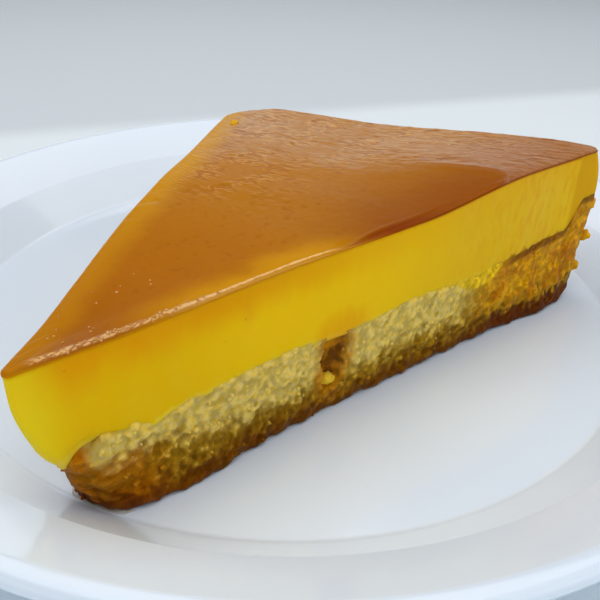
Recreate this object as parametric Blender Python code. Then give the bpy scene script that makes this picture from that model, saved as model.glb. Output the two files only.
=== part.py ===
"""A wedge of egg yolk flan on its dessert plate.

The wedge is one eighth of a round flan cake, turned out of its pan: a soaked sponge
at the bottom, a thick egg yolk custard on it and a thin sheet of caramel on top.
The plate is round porcelain with a foot ring, a flat well and a sloping flange.

Frame: metres, +Z up, origin on the table under the plate's centre. +X runs along
the wedge from its tip to its rim, and +Y points to the wedge's back cut.

Run it with: blender --background --python part.py
"""

import math

import bmesh
import bpy
from mathutils import Vector, noise

# ---------------------------------------------------------------- the wedge
LENGTH = 0.1154  # from where its cuts meet to the front rim corner: a 9 inch pan and a little
BACK_LENGTH = 0.1116  # to the back rim corner
TIP_ANGLE = math.radians(42.5)  # between the two cuts, measured corner to corner
RIM_BOW = 0.0024  # how far the round rim stands out from its chord
BACK_CUT_BOW = 0.0014  # the back cut was made in a slight curve
TIP_HEIGHT = 0.0277
SHOULDER_RISE = 0.0015  # the top climbs this much behind the tip
SHOULDER_FROM, SHOULDER_TO = 0.08, 0.42  # of the length, as are the next shares
RIM_RISE = 0.0021  # and this much again towards the rim
RIM_RISE_FROM, RIM_RISE_TO = 0.58, 0.82
MIDDLE_DIP = 0.0003
DIP_AT, DIP_WIDTH = 0.5, 0.12
EDGE_DROP = 0.0007  # the top lies lower along the whole back cut
EDGE_DROP_TO = 0.12
BACK_DROP = 0.0031  # and much lower at the back rim corner
BACK_DROP_FROM, BACK_DROP_TO = 0.50, 0.82
BACK_DROP_SPREAD = 0.65  # of the tip's angle
FRONT_CORNER_ROUND = 0.0030  # how far a corner is cut back before it is rounded
BACK_CORNER_ROUND = 0.0120
TIP_ROUND = 0.0020
TIP_LEAN = 0.0060  # the custard's tip leans out over its foot, which is cut back this much more
TIP_LEAN_FROM, TIP_LEAN_TO = 0.25, 0.85  # the levels between which it leans
CORNER_FULLNESS = (0.6, 0.38, 0.4)  # of the rim's two corners and the tip
SPONGE_SETBACK = 0.0020  # the crumbling sponge under it ends further back, here at its top
FOOT_SETBACK = 0.0075  # and here at its foot
RIM_BULGE = 0.0031  # the rim swells out, most where the custard is
BULGE_SKEW = 2.0  # above 1 the widest part lies higher than the middle
RIM_FOOT_RETREAT = 0.0026  # and is rounded in at its foot
RIM_FOOT_LEVEL = 0.06

# ---------------------------------------------------------------- its layers
SPONGE_HEIGHT = 0.0139
SPONGE_SLOPE = 0.0014  # it is thinner than that towards the tip
SLOPE_FROM, SLOPE_TO = 0.012, 0.038  # where that happens, from the tip
TIP_SPONGE_DROP = 0.0026  # and it thins out at the tip itself
TIP_SPONGE_RUN = 0.0180
SPONGE_WAVE = 0.0006  # unevenness of the line between sponge and custard
WAVES_PER_METRE = 90.0
SPONGE_RAMP = 0.0015  # it thickens towards the rim
RAMP_FROM = 0.70  # of the length
COLLAR_RISE = 0.0058  # batter ran up between custard and pan, so sponge climbs the rim
COLLAR_WIDTH = 0.0015
COLLAR_SLOPE = 0.0042
CARAMEL_THICKNESS = 0.0011
CARAMEL_EDGE_ROUND = 0.0006
CUT_ROUGHNESS = 0.0004  # relief of the torn sponge in its cut sides
TEARS_PER_METRE = 260.0
TEARS_PER_WALL = 9.0
FOOT_ROUND = 0.0003
FOOT_SAGS = (  # where the soft foot has spread out of the front cut: how far along, length, width
    (0.022, 0.012, 0.0018),
    (0.104, 0.010, 0.0016),
)
SAG_LEVEL = 0.34  # up to this level
SAG_FADE = 0.0040  # and this far in from the cut
GAP = 0.0003  # air between pieces that touch

# ---------------------------------------------------------------- the plate
PLATE_RADIUS = 0.0851
WELL_TOP_RADIUS = 0.0715
WELL_FLOOR_RADIUS = 0.0637
FLOOR_HEIGHT = 0.0048  # the well's upper face above the table
WELL_DEPTH = 0.0070
FLANGE_RISE = 0.0056
PLATE_THICKNESS = 0.0034
RIM_THICKNESS = 0.0026
FOOT_RADIUS = 0.0500  # the foot ring's outer radius
FOOT_WIDTH = 0.0045
FOOT_EDGE = 0.0007  # rounding of the foot ring
FOOT_INSIDE_SLOPE = 0.0022
# the points that ease the plate's bends: how far out, and up, of each corner
FOOT_TO_BASE = (0.0016, 0.0002)
UNDER_FLOOR_BEND = (0.0010, 0.0006)
UNDER_WELL_BEND = (0.0014, 0.0)
FLANGE_BEND = (0.0030, 0.0010)
WELL_EDGE = (0.0, -0.0003)
WELL_EDGE_BEND = (-0.0018, -0.0016)
WELL_FOOT_BEND = (0.0016, 0.0013)
WELL_FOOT = (0.0, 0.0002)
FLOOR_EDGE = (-0.0010, 0.0)
FLOOR_RING_SHARE = 0.55  # a last ring on the flat floor
LIP_ROUND_ANGLES = (-75, -35, 0, 35, 75, 110)  # degrees round the lip, from below to above
TIP_FROM_CENTRE = 0.0734  # the wedge lies nearly centred on the plate
TIP_ASIDE = -0.0069

# ---------------------------------------------------------------- finishes: colour and roughness
SPONGE_FINISH = ((0.42, 0.27, 0.06), 0.75)
CUSTARD_FINISH = ((0.66, 0.41, 0.01), 0.35)
CARAMEL_FINISH = ((0.43, 0.15, 0.01), 0.15)
PORCELAIN_FINISH = ((0.80, 0.82, 0.84), 0.12)
SHARP_ANGLE = math.radians(50.0)  # steeper folds than this are shaded as edges

# ---------------------------------------------------------------- mesh counts
FRONT_STATIONS, RIM_STATIONS, BACK_STATIONS = 24, 16, 18
CORNER_STATIONS = 4
INWARD_SCALES = (0.965, 0.93, 0.89, 0.84, 0.68, 0.42)  # rings from the wall to the middle
WALL_SHARES = (0.05, 0.3, 0.55, 0.8)  # rings up the sponge's wall
CUSTARD_SHARES = (0.2, 0.45, 0.7)
PLATE_SEGMENTS = 64
MIDDLE_SHARE = 0.62  # of the length, where the rings of the flat faces close

WEDGE_BOTTOM = FLOOR_HEIGHT + GAP
MIDDLE = Vector((MIDDLE_SHARE * LENGTH, 0.0))


def smoothstep(low, high, value):
    """0 below low, 1 above high, and a smooth rise between them."""
    share = min(1.0, max(0.0, (value - low) / (high - low)))
    return share * share * (3.0 - 2.0 * share)


def polar(length, angle):
    return Vector((length * math.cos(angle), length * math.sin(angle)))


def material(name, colour, roughness):
    """A plain Principled BSDF finish."""
    made = bpy.data.materials.new(name)
    made.use_nodes = True
    made.diffuse_color = (*colour, 1.0)
    shader = made.node_tree.nodes["Principled BSDF"]
    shader.inputs["Base Color"].default_value = (*colour, 1.0)
    shader.inputs["Roughness"].default_value = roughness
    shader.inputs["Metallic"].default_value = 0.0
    return made


# ---------------------------------------------------------------- plan of the wedge
def rim_offset(level):
    """How far the rim stands out at a level from 0, the foot, to 1, the top."""
    swell = RIM_BULGE * math.sin(math.pi * level**BULGE_SKEW)
    return swell - RIM_FOOT_RETREAT * math.exp(-level / RIM_FOOT_LEVEL)


def corners(level):
    """The tip, front rim corner and back rim corner at a level, in plan."""
    half = TIP_ANGLE / 2.0
    out = rim_offset(level)
    return Vector((0.0, 0.0)), polar(LENGTH + out, -half), polar(BACK_LENGTH + out, half)


def tip_round(level):
    """How far the custard's tip is cut back along both cuts at a level."""
    return TIP_ROUND + TIP_LEAN * (1.0 - smoothstep(TIP_LEAN_FROM, TIP_LEAN_TO, level))


def bowed(start, end, bow, share):
    """A point on the parabola from start to end that stands out to the right by bow."""
    along = end - start
    outward = Vector((along.y, -along.x)).normalized()
    return start + along * share + outward * bow * 4.0 * share * (1.0 - share)


def edge(start, end, bow, cut_start, cut_end, share):
    """A point on a bowed edge whose ends are cut back for the rounded corners."""
    length = (end - start).length
    first, last = cut_start / length, 1.0 - cut_end / length
    return bowed(start, end, bow, first + (last - first) * share)


def rounded(before, corner, after, fullness, share):
    """A point on the curve that rounds a corner: fullness 0 is a straight chop, 1 nearly sharp."""
    leave, arrive = before.lerp(corner, fullness), after.lerp(corner, fullness)
    back = 1.0 - share
    return (
        before * back**3
        + leave * 3.0 * back**2 * share
        + arrive * 3.0 * back * share**2
        + after * share**3
    )


def wall_point(side, share, level, setback=0.0):
    """A point of the wedge's outline.

    Sides 0 to 5 are the front cut, front corner, rim, back corner, back cut and tip.
    """
    tip, front, back = corners(level)
    chop = tip_round(level) + setback
    edges = (
        (tip, front, 0.0, chop, FRONT_CORNER_ROUND),
        (front, back, RIM_BOW, FRONT_CORNER_ROUND, BACK_CORNER_ROUND),
        (back, tip, BACK_CUT_BOW, BACK_CORNER_ROUND, chop),
    )
    number = side // 2
    if side % 2 == 0:
        return edge(*edges[number], share)
    following = edges[(number + 1) % 3]
    before, after = edge(*edges[number], 1.0), edge(*following, 0.0)
    return rounded(before, following[0], after, CORNER_FULLNESS[number], share)


def stations():
    """(side, share) pairs once round the wedge, closer together at the ends of the two cuts."""
    counts = (FRONT_STATIONS, CORNER_STATIONS, RIM_STATIONS, CORNER_STATIONS, BACK_STATIONS, CORNER_STATIONS)
    found = []
    for side, count in enumerate(counts):
        for step in range(count):
            share = step / count
            if side in (0, 4):
                share = 0.5 - 0.5 * math.cos(math.pi * share)
            found.append((side, share))
    return found


# ---------------------------------------------------------------- heights of its layers
def top_height(plan):
    """Height of the caramel's upper face above the wedge's foot."""
    run = plan.length / LENGTH
    sideways = math.atan2(plan.y, max(plan.x, 0.001)) / TIP_ANGLE + 0.5
    shoulder = SHOULDER_RISE * smoothstep(SHOULDER_FROM, SHOULDER_TO, run)
    rise = RIM_RISE * smoothstep(RIM_RISE_FROM, RIM_RISE_TO, run)
    dip = MIDDLE_DIP * math.exp(-(((run - DIP_AT) / DIP_WIDTH) ** 2))
    back = smoothstep(0.0, BACK_DROP_SPREAD, sideways)
    drop = BACK_DROP * smoothstep(BACK_DROP_FROM, BACK_DROP_TO, run)
    drop += EDGE_DROP * smoothstep(0.0, EDGE_DROP_TO, run)
    return TIP_HEIGHT + shoulder + rise - dip - drop * back


def sponge_height(plan):
    """Height of the line between sponge and custard above the wedge's foot."""
    run = plan.length
    wave_place = Vector((plan.x * WAVES_PER_METRE, plan.y * WAVES_PER_METRE, 3.0))
    wave = SPONGE_WAVE * noise.noise(wave_place)
    slope = SPONGE_SLOPE * (1.0 - smoothstep(SLOPE_FROM, SLOPE_TO, run))
    thin = TIP_SPONGE_DROP * (1.0 - smoothstep(0.0, TIP_SPONGE_RUN, run))
    inner = (LENGTH + BACK_LENGTH) / 2.0 - COLLAR_WIDTH
    ramp = SPONGE_RAMP * smoothstep(RAMP_FROM * LENGTH, inner, run)
    collar = COLLAR_RISE * smoothstep(inner - COLLAR_SLOPE, inner, run)
    return SPONGE_HEIGHT - slope - thin + wave + ramp + collar


def sponge_level(side, share):
    """The level at which sponge gives way to custard in the wall at a station."""
    plan = wall_point(side, share, 0.5)
    return sponge_height(plan) / top_height(plan)


def caramel_level(plan):
    """The level of the caramel's lower face."""
    return 1.0 - CARAMEL_THICKNESS / top_height(plan)


def foot_sag(plan, level):
    """How far the soft foot of the sponge has spread out of the front cut."""
    half = TIP_ANGLE / 2.0
    along = plan.x * math.cos(half) - plan.y * math.sin(half)
    from_cut = plan.x * math.sin(half) + plan.y * math.cos(half)
    near = 1.0 - smoothstep(0.0, SAG_FADE, from_cut)
    low = 1.0 - smoothstep(0.0, SAG_LEVEL, level)
    sag = sum(width * math.exp(-(((along - at) / length) ** 2)) for at, length, width in FOOT_SAGS)
    return sag * near * low


def wall_ring(level_at, lift=0.0, inset=0.0, relief=0.0, setback=0.0):
    """Points once round the wall, at the level that level_at gives for each station."""
    ring = []
    for side, share in stations():
        level = level_at(side, share)
        plan = wall_point(side, share, level, setback)
        inward = (MIDDLE - plan).normalized()
        tear = Vector((plan.x * TEARS_PER_METRE, plan.y * TEARS_PER_METRE, level * TEARS_PER_WALL))
        rough = relief * noise.noise(tear)
        height = level * top_height(plan)
        outward = Vector((-math.sin(TIP_ANGLE / 2.0), -math.cos(TIP_ANGLE / 2.0)))
        plan = plan + inward * (inset + rough) + outward * foot_sag(plan, level)
        ring.append(Vector((plan.x, plan.y, WEDGE_BOTTOM + height + lift)))
    return ring


def inner_rings(ring, height_at):
    """Rings from a wall ring towards the middle, on the face that height_at gives."""
    rings = []
    for scale in INWARD_SCALES:
        face = []
        for point in ring:
            plan = MIDDLE + (point.xy - MIDDLE) * scale
            face.append(Vector((plan.x, plan.y, WEDGE_BOTTOM + height_at(plan))))
        rings.append(face)
    return rings


def middle_point(height_at):
    return Vector((MIDDLE.x, MIDDLE.y, WEDGE_BOTTOM + height_at(MIDDLE)))


# ---------------------------------------------------------------- solids
def solid_from_rings(name, bottom, rings, top, under_rows, finish):
    """A closed solid: a fan at the bottom point, rings joined by triangles, a fan at the top point.

    The first under_rows bands, the lower face, are split along the other diagonal, so
    that they lie parallel to the upper face of whatever is below.
    """
    mesh = bpy.data.meshes.new(name)
    bm = bmesh.new()
    rows = [[bm.verts.new(point) for point in ring] for ring in rings]
    low, high = bm.verts.new(bottom), bm.verts.new(top)
    count = len(rows[0])
    for i in range(count):
        j = (i + 1) % count
        bm.faces.new((low, rows[0][j], rows[0][i]))
        bm.faces.new((high, rows[-1][i], rows[-1][j]))
        for number, (under, over) in enumerate(zip(rows, rows[1:])):
            if number < under_rows:
                bm.faces.new((under[i], under[j], over[i]))
                bm.faces.new((under[j], over[j], over[i]))
            else:
                bm.faces.new((under[i], under[j], over[j]))
                bm.faces.new((under[i], over[j], over[i]))
    bm.to_mesh(mesh)
    bm.free()
    mesh.shade_smooth()
    mesh.set_sharp_from_angle(angle=SHARP_ANGLE)
    mesh.materials.append(finish)
    made = bpy.data.objects.new(name, mesh)
    bpy.context.scene.collection.objects.link(made)
    return made


def sponge(finish):
    """The soaked sponge: flat foot, torn cut sides, and a collar that climbs the rim."""
    walls = [wall_ring(lambda side, share: 0.0, inset=FOOT_ROUND, setback=FOOT_SETBACK)]
    for part in WALL_SHARES:
        setback = FOOT_SETBACK + (SPONGE_SETBACK - FOOT_SETBACK) * part
        walls.append(
            wall_ring(
                lambda side, share: part * sponge_level(side, share),
                relief=CUT_ROUGHNESS,
                setback=setback,
            )
        )
    walls.append(wall_ring(sponge_level, setback=SPONGE_SETBACK))
    under = inner_rings(walls[0], lambda plan: 0.0)[::-1]
    over = inner_rings(walls[-1], sponge_height)
    return solid_from_rings(
        "sponge_base",
        middle_point(lambda plan: 0.0),
        under + walls + over,
        middle_point(sponge_height),
        len(under),
        finish,
    )


def custard(finish):
    """The egg yolk custard between sponge and caramel."""

    def level_at(part):
        def found(side, share):
            low = sponge_level(side, share)
            high = caramel_level(wall_point(side, share, 1.0))
            return low + (high - low) * part

        return found

    def upper_face(plan):
        return top_height(plan) - CARAMEL_THICKNESS - GAP

    walls = [wall_ring(level_at(0.0), lift=GAP)]
    walls += [wall_ring(level_at(part)) for part in CUSTARD_SHARES]
    walls.append(wall_ring(level_at(1.0), lift=-GAP))
    under = inner_rings(walls[0], lambda plan: sponge_height(plan) + GAP)[::-1]
    over = inner_rings(walls[-1], upper_face)
    return solid_from_rings(
        "egg_yolk_custard",
        middle_point(lambda plan: sponge_height(plan) + GAP),
        under + walls + over,
        middle_point(upper_face),
        len(under),
        finish,
    )


def caramel(finish):
    """The thin caramel sheet on top, rounded over at its upper edge."""

    def lower_face(plan):
        return top_height(plan) - CARAMEL_THICKNESS

    def lower_level(side, share):
        return caramel_level(wall_point(side, share, 1.0))

    def shoulder_level(side, share):
        return 1.0 - CARAMEL_EDGE_ROUND / top_height(wall_point(side, share, 1.0))

    eased = CARAMEL_EDGE_ROUND * (1.0 - math.sqrt(0.5))
    walls = [
        wall_ring(lower_level),
        wall_ring(shoulder_level),
        wall_ring(lambda side, share: 1.0, lift=-eased, inset=eased),
        wall_ring(lambda side, share: 1.0, inset=CARAMEL_EDGE_ROUND),
    ]
    under = inner_rings(walls[0], lower_face)[::-1]
    over = inner_rings(walls[-1], top_height)
    return solid_from_rings(
        "caramel_top",
        middle_point(lower_face),
        under + walls + over,
        middle_point(top_height),
        len(under),
        finish,
    )


def moved(radius, height, offset):
    """A corner of the plate's half section, moved by an offset."""
    return radius + offset[0], height + offset[1]


def plate(finish):
    """The plate, turned from its half section."""
    floor_under = FLOOR_HEIGHT - PLATE_THICKNESS
    wall_top = FLOOR_HEIGHT + WELL_DEPTH
    lip = wall_top + FLANGE_RISE
    foot_inner = FOOT_RADIUS - FOOT_WIDTH
    half_rim = RIM_THICKNESS / 2.0
    rim_middle = Vector((PLATE_RADIUS - half_rim, lip - half_rim))
    under_side = [
        (foot_inner - FOOT_INSIDE_SLOPE, floor_under),
        (foot_inner, FOOT_EDGE),
        (foot_inner + FOOT_EDGE, 0.0),
        (FOOT_RADIUS - FOOT_EDGE, 0.0),
        (FOOT_RADIUS, FOOT_EDGE),
        moved(FOOT_RADIUS, floor_under, FOOT_TO_BASE),
        moved(WELL_FLOOR_RADIUS, floor_under, UNDER_FLOOR_BEND),
        moved(WELL_TOP_RADIUS, wall_top - PLATE_THICKNESS, UNDER_WELL_BEND),
    ]
    rim_round = [
        tuple(rim_middle + polar(half_rim, math.radians(angle)))
        for angle in LIP_ROUND_ANGLES
    ]
    upper_side = [
        moved(WELL_TOP_RADIUS, wall_top, FLANGE_BEND),
        moved(WELL_TOP_RADIUS, wall_top, WELL_EDGE),
        moved(WELL_TOP_RADIUS, wall_top, WELL_EDGE_BEND),
        moved(WELL_FLOOR_RADIUS, FLOOR_HEIGHT, WELL_FOOT_BEND),
        moved(WELL_FLOOR_RADIUS, FLOOR_HEIGHT, WELL_FOOT),
        moved(WELL_FLOOR_RADIUS, FLOOR_HEIGHT, FLOOR_EDGE),
        (FLOOR_RING_SHARE * WELL_FLOOR_RADIUS, FLOOR_HEIGHT),
    ]
    rings = []
    for radius, height in under_side + rim_round + upper_side:
        ring = []
        for step in range(PLATE_SEGMENTS):
            around = polar(radius, 2.0 * math.pi * step / PLATE_SEGMENTS)
            ring.append(Vector((around.x, around.y, height)))
        rings.append(ring)
    bottom = Vector((0.0, 0.0, floor_under))
    top = Vector((0.0, 0.0, FLOOR_HEIGHT))
    return solid_from_rings("plate", bottom, rings, top, 0, finish)


def build():
    for old in list(bpy.data.objects):
        bpy.data.objects.remove(old)
    wedge = bpy.data.objects.new("wedge", None)
    bpy.context.scene.collection.objects.link(wedge)
    wedge.location = (-TIP_FROM_CENTRE, TIP_ASIDE, 0.0)
    layers = (
        sponge(material("sponge", *SPONGE_FINISH)),
        custard(material("custard", *CUSTARD_FINISH)),
        caramel(material("caramel", *CARAMEL_FINISH)),
    )
    for layer in layers:
        layer.parent = wedge
    plate(material("porcelain", *PORCELAIN_FINISH))


build()
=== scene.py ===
# %% [markdown]
# # A slice of egg yolk flan on its plate
#
# The dessert has three layers: a sponge soaked in syrup, a thick egg yolk custard and
# a thin sheet of caramel. It was baked upside down in a round pan, turned out, and cut
# into eighths. We load the solids first, as a frame to build in.

import math
from types import SimpleNamespace

import bpy
import numpy as np
from mathutils import Euler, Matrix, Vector, noise


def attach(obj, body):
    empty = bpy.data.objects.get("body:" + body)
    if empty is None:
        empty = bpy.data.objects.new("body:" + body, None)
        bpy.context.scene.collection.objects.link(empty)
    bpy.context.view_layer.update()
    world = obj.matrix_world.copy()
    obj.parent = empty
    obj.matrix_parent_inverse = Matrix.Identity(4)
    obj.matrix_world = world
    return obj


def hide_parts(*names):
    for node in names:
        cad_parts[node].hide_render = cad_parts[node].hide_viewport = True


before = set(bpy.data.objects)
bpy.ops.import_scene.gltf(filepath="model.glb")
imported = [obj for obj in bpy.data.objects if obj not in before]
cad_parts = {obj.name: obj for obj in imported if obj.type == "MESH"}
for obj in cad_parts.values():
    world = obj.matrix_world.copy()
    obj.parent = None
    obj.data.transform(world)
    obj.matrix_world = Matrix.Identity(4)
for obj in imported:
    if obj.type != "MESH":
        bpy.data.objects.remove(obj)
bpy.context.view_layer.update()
scene = bpy.context.scene

# %% [markdown]
# ## The camera
#
# A cake slice is looked at from a seated person's eye, close up: about 31 degrees
# above the table and only a hand's width from the tip. So near, the tip looks much
# larger than the rim, and that only comes out right if the lens and the distance are
# both right. The colours are shown as they are, without a film curve, which would grey
# the yellow.

# %% Camera
MM = 0.001
CAMERA_PLACE = (-111.55 * MM, -67.52 * MM, 81.03 * MM)
CAMERA_HEADING = 59.76  # degrees, clockwise from +Y
CAMERA_PITCH = 30.56  # degrees below the horizon
CAMERA_ROLL = 1.40
LENS = 43.9


def new_piece(name, data):
    """An object in the scene."""
    piece = bpy.data.objects.new(name, data)
    scene.collection.objects.link(piece)
    return piece


camera_data = bpy.data.cameras.new("seated_eye")
camera_data.lens = LENS
camera_data.sensor_width = 36.0
camera_data.clip_start = 0.005
camera_data.clip_end = 20.0
camera = new_piece("seated_eye", camera_data)
turn = Euler((math.radians(90.0 - CAMERA_PITCH), 0.0, math.radians(-CAMERA_HEADING)), "XYZ")
roll = Euler((0.0, 0.0, math.radians(CAMERA_ROLL)), "XYZ")
camera.rotation_euler = (turn.to_matrix() @ roll.to_matrix()).to_euler()
camera.location = CAMERA_PLACE
scene.camera = camera
scene.view_settings.view_transform = "Standard"
print("camera at", [round(c, 4) for c in camera.location])

# %% [markdown]
# ## Helpers for node trees
#
# Materials and Geometry Nodes are both graphs: nodes joined by links. Building them in
# code is mostly one sentence said many times, "add this node and feed it that", so it
# pays to write that sentence once. `put` does that, and `flow` hands on what the new
# node puts out. A Flow understands +, -, * and /, and each sign adds a Math node, so a
# recipe of forty nodes reads as a few lines of arithmetic.

# %% Putting and feeding nodes
MIX_SHARE, MIX_FIRST, MIX_SECOND, MIX_COLOUR = 0, 6, 7, 2  # a Mix node's colour sockets
SCALE_BY = 3  # a Vector Math node's socket for a plain number


class Flow:
    """What a node puts out. Python's own signs can reckon with it."""

    def __init__(self, socket):
        self.socket = socket
        self.tree = socket.id_data

    def __add__(self, other):
        return sums("ADD", self, other)

    def __sub__(self, other):
        return sums("SUBTRACT", self, other)

    def __rsub__(self, other):
        return sums("SUBTRACT", other, self)

    def __mul__(self, other):
        return sums("MULTIPLY", self, other)

    def __truediv__(self, other):
        return sums("DIVIDE", self, other)

    def __rtruediv__(self, other):
        return sums("DIVIDE", other, self)

    def __abs__(self):
        return sums("ABSOLUTE", self)


def feed(inputs, values):
    """Gives each named input a number or, by a link, what another node puts out."""
    for socket, value in values.items():
        if isinstance(value, Flow):
            value.tree.links.new(value.socket, inputs[socket])
        else:
            inputs[socket].default_value = value


def put(tree, kind, inputs=None, **options):
    """A new node with its options set and its inputs fed."""
    made = tree.nodes.new(kind)
    for name, value in options.items():
        setattr(made, name, value)
    feed(made.inputs, inputs or {})
    return made


def flow(tree, kind, inputs=None, output=0, **options):
    """What one output of a new node puts out."""
    return Flow(put(tree, kind, inputs, **options).outputs[output])


def flows(node):
    """All that a node puts out, by name."""
    return {socket.name: Flow(socket) for socket in node.outputs}


def sums(operation, first, second=0.0):
    """The answer of a Math node."""
    tree = (first if isinstance(first, Flow) else second).tree
    return flow(tree, "ShaderNodeMath", {0: first, 1: second, 2: 0.0}, operation=operation)


def vectors(operation, first, second=(0.0, 0.0, 0.0), output=0):
    """The answer of a Vector Math node."""
    inputs = {0: first, (SCALE_BY if operation == "SCALE" else 1): second}
    return flow(first.tree, "ShaderNodeVectorMath", inputs, output, operation=operation)


def ease(value, low, high, start=0.0, end=1.0):
    """A smooth rise of value from start at low to end at high."""
    inputs = {"Value": value, "From Min": low, "From Max": high, "To Min": start, "To Max": end}
    return flow(value.tree, "ShaderNodeMapRange", inputs, interpolation_type="SMOOTHSTEP")


def mixed(share, first, second, blend="MIX"):
    """The colour that share, 0 to 1, makes between first and second."""
    inputs = {MIX_SHARE: share, MIX_FIRST: first, MIX_SECOND: second}
    kind = {"data_type": "RGBA", "blend_type": blend}
    return flow(share.tree, "ShaderNodeMix", inputs, MIX_COLOUR, **kind)


def painted(ground, *coats):
    """The colour of a ground under coats; each is a share, 0 to 1, and a colour."""
    for share, colour in coats:
        ground = mixed(share, ground, colour)
    return ground


def noises(place, scale, detail, output=0):
    """Noise from 0 to 1 at a place."""
    inputs = {"Vector": place, "Scale": scale, "Detail": detail}
    return flow(place.tree, "ShaderNodeTexNoise", inputs, output)


def bumped(height, strength, distance):
    """A normal bent by a height."""
    inputs = {"Height": height, "Strength": strength, "Distance": distance}
    return flow(height.tree, "ShaderNodeBump", inputs)


# %% Trees with named inputs
def shape_tree(name, numbers, counts=()):
    """A Geometry Nodes tree with a mesh in, named inputs, a finish, and a mesh out."""
    tree = bpy.data.node_groups.new(name, "GeometryNodeTree")
    kinds = {"Mesh": "Geometry", **dict.fromkeys(numbers, "Float"), **dict.fromkeys(counts, "Int")}
    for label, kind in {**kinds, "Finish": "Material"}.items():
        tree.interface.new_socket(label, in_out="INPUT", socket_type="NodeSocket" + kind)
    tree.interface.new_socket("Mesh", in_out="OUTPUT", socket_type="NodeSocketGeometry")
    return tree, flows(put(tree, "NodeGroupInput"))


def finish_tree(tree, shape, finish):
    """Ends a tree: smooth shading, instances made into a real mesh, and its finish."""
    smooth = flow(tree, "GeometryNodeSetShadeSmooth", {0: shape})
    real = flow(tree, "GeometryNodeRealizeInstances", {0: smooth})
    finished = flow(tree, "GeometryNodeSetMaterial", {"Geometry": real, "Material": finish})
    put(tree, "NodeGroupOutput", {0: finished})


def run_tree(piece, tree, values):
    """Runs a tree on a piece and keeps the result as its plain mesh."""
    modifier = piece.modifiers.new(tree.name, "NODES")
    modifier.node_group = tree
    for item in tree.interface.items_tree:
        if item.in_out == "INPUT" and item.name in values:
            modifier[item.identifier] = values[item.name]
    bpy.context.view_layer.update()
    ready = bpy.context.evaluated_depsgraph_get()
    before = piece.data
    after = bpy.data.meshes.new_from_object(
        piece.evaluated_get(ready), preserve_all_data_layers=True, depsgraph=ready
    )
    piece.modifiers.remove(modifier)
    piece.data = after
    bpy.data.meshes.remove(before)
    after.name = piece.name
    print(piece.name, len(after.polygons), "faces from", tree.name)


# %% New finishes and smooth pieces
def new_finish(name):
    """A new material, its node tree and its shader's inputs."""
    made = bpy.data.materials.new(name)
    made.use_nodes = True
    return made, made.node_tree, made.node_tree.nodes["Principled BSDF"].inputs


def smooth_piece(name, points, faces, finish):
    """A smooth object from points and faces, in one finish."""
    mesh = bpy.data.meshes.new(name)
    mesh.from_pydata(points, [], faces)
    mesh.shade_smooth()
    mesh.materials.append(finish)
    return new_piece(name, mesh)


# %% [markdown]
# ## Light
#
# Pastry looks its best in soft light from three sides: a pale wall all round, low down,
# a large soft light overhead and a weaker one in front. Above the wall the room is dim.
# That is what makes the far end of the caramel pale and its near end deep: a wet surface
# mirrors the pale wall at a low angle and the dim room at a steep one. A world whose
# colour depends only on height above the horizon does this cheaply.

# %% Room light and soft lights
ROOM_STRENGTH = 1.14
WALL_GLOW = (0.93, 0.98, 1.0, 1.0)
CEILING_GLOW = (0.06, 0.062, 0.065, 1.0)
WALL_TOP = 0.22  # sines of the height angle
CEILING_FROM = 0.34
SOFT_LIGHTS = {  # place, size and watts
    "overhead": ((0.0, 0.04, 0.60), 1.0, 5.1),
    "front": ((-0.12, -0.62, 0.28), 0.60, 0.75),
}

room = bpy.data.worlds.new("soft_room")
room.use_nodes = True
scene.world = room
tree = room.node_tree
direction = flow(tree, "ShaderNodeTexCoord", output="Generated")
upward = flow(tree, "ShaderNodeSeparateXYZ", {0: direction}, output="Z")
height_ramp = put(tree, "ShaderNodeValToRGB", {"Fac": upward})
wall_stop, ceiling_stop = height_ramp.color_ramp.elements
wall_stop.position, wall_stop.color = WALL_TOP, WALL_GLOW
ceiling_stop.position, ceiling_stop.color = CEILING_FROM, CEILING_GLOW
room_glow = {"Color": Flow(height_ramp.outputs["Color"]), "Strength": ROOM_STRENGTH}
feed(tree.nodes["Background"].inputs, room_glow)

for name, (place, size, power) in SOFT_LIGHTS.items():
    light_data = bpy.data.lights.new(name, "AREA")
    light_data.size = size
    light_data.energy = power
    light = new_piece(name, light_data)
    light.location = place
    light.rotation_euler = (-Vector(place)).to_track_quat("-Z", "Y").to_euler()
    print(name, "light", power, "W")

# %% [markdown]
# ## The floor
#
# A pale, faintly blue table top, with a little unevenness so that it isn't a void. It is
# brightest round the plate, and a hand's width behind it the light falls off. It isn't
# part of the dessert.

# %% Table top
TABLE_IN_PAINTED_LIGHT = (0.85, 0.92, 0.955, 1.0)
TABLE_PAST_PAINTED_LIGHT = (0.675, 0.735, 0.775, 1.0)
TABLE_CLOUD = (0.95, 0.96, 0.97, 1.0)
TABLE_HALF = 2.5
FALL_OFF_DIRECTION = (0.656, 0.755, 0.0)
FALL_OFF_FROM = 0.130
FALL_OFF_TO = 0.150

table_finish, tree, shader = new_finish("pale_table")
place = flow(tree, "ShaderNodeTexCoord", output="Object")
reach = vectors("DOT_PRODUCT", place, FALL_OFF_DIRECTION, "Value")
# a painted pool of light: the table is lighter round the plate and darker a hand's width behind it
blend = mixed(ease(reach, FALL_OFF_FROM, FALL_OFF_TO), TABLE_IN_PAINTED_LIGHT, TABLE_PAST_PAINTED_LIGHT)
clouded = mixed(noises(place, 3.0, 3.0), blend, TABLE_CLOUD, "MULTIPLY")
feed(shader, {"Base Color": clouded, "Roughness": 0.6})
table_mesh = bpy.data.meshes.new("table_top")
h = TABLE_HALF
table_mesh.from_pydata([(-h, -h, 0), (h, -h, 0), (h, h, 0), (-h, h, 0)], [], [(0, 1, 2, 3)])
table_mesh.materials.append(table_finish)
table_top = new_piece("table_top", table_mesh)

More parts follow.
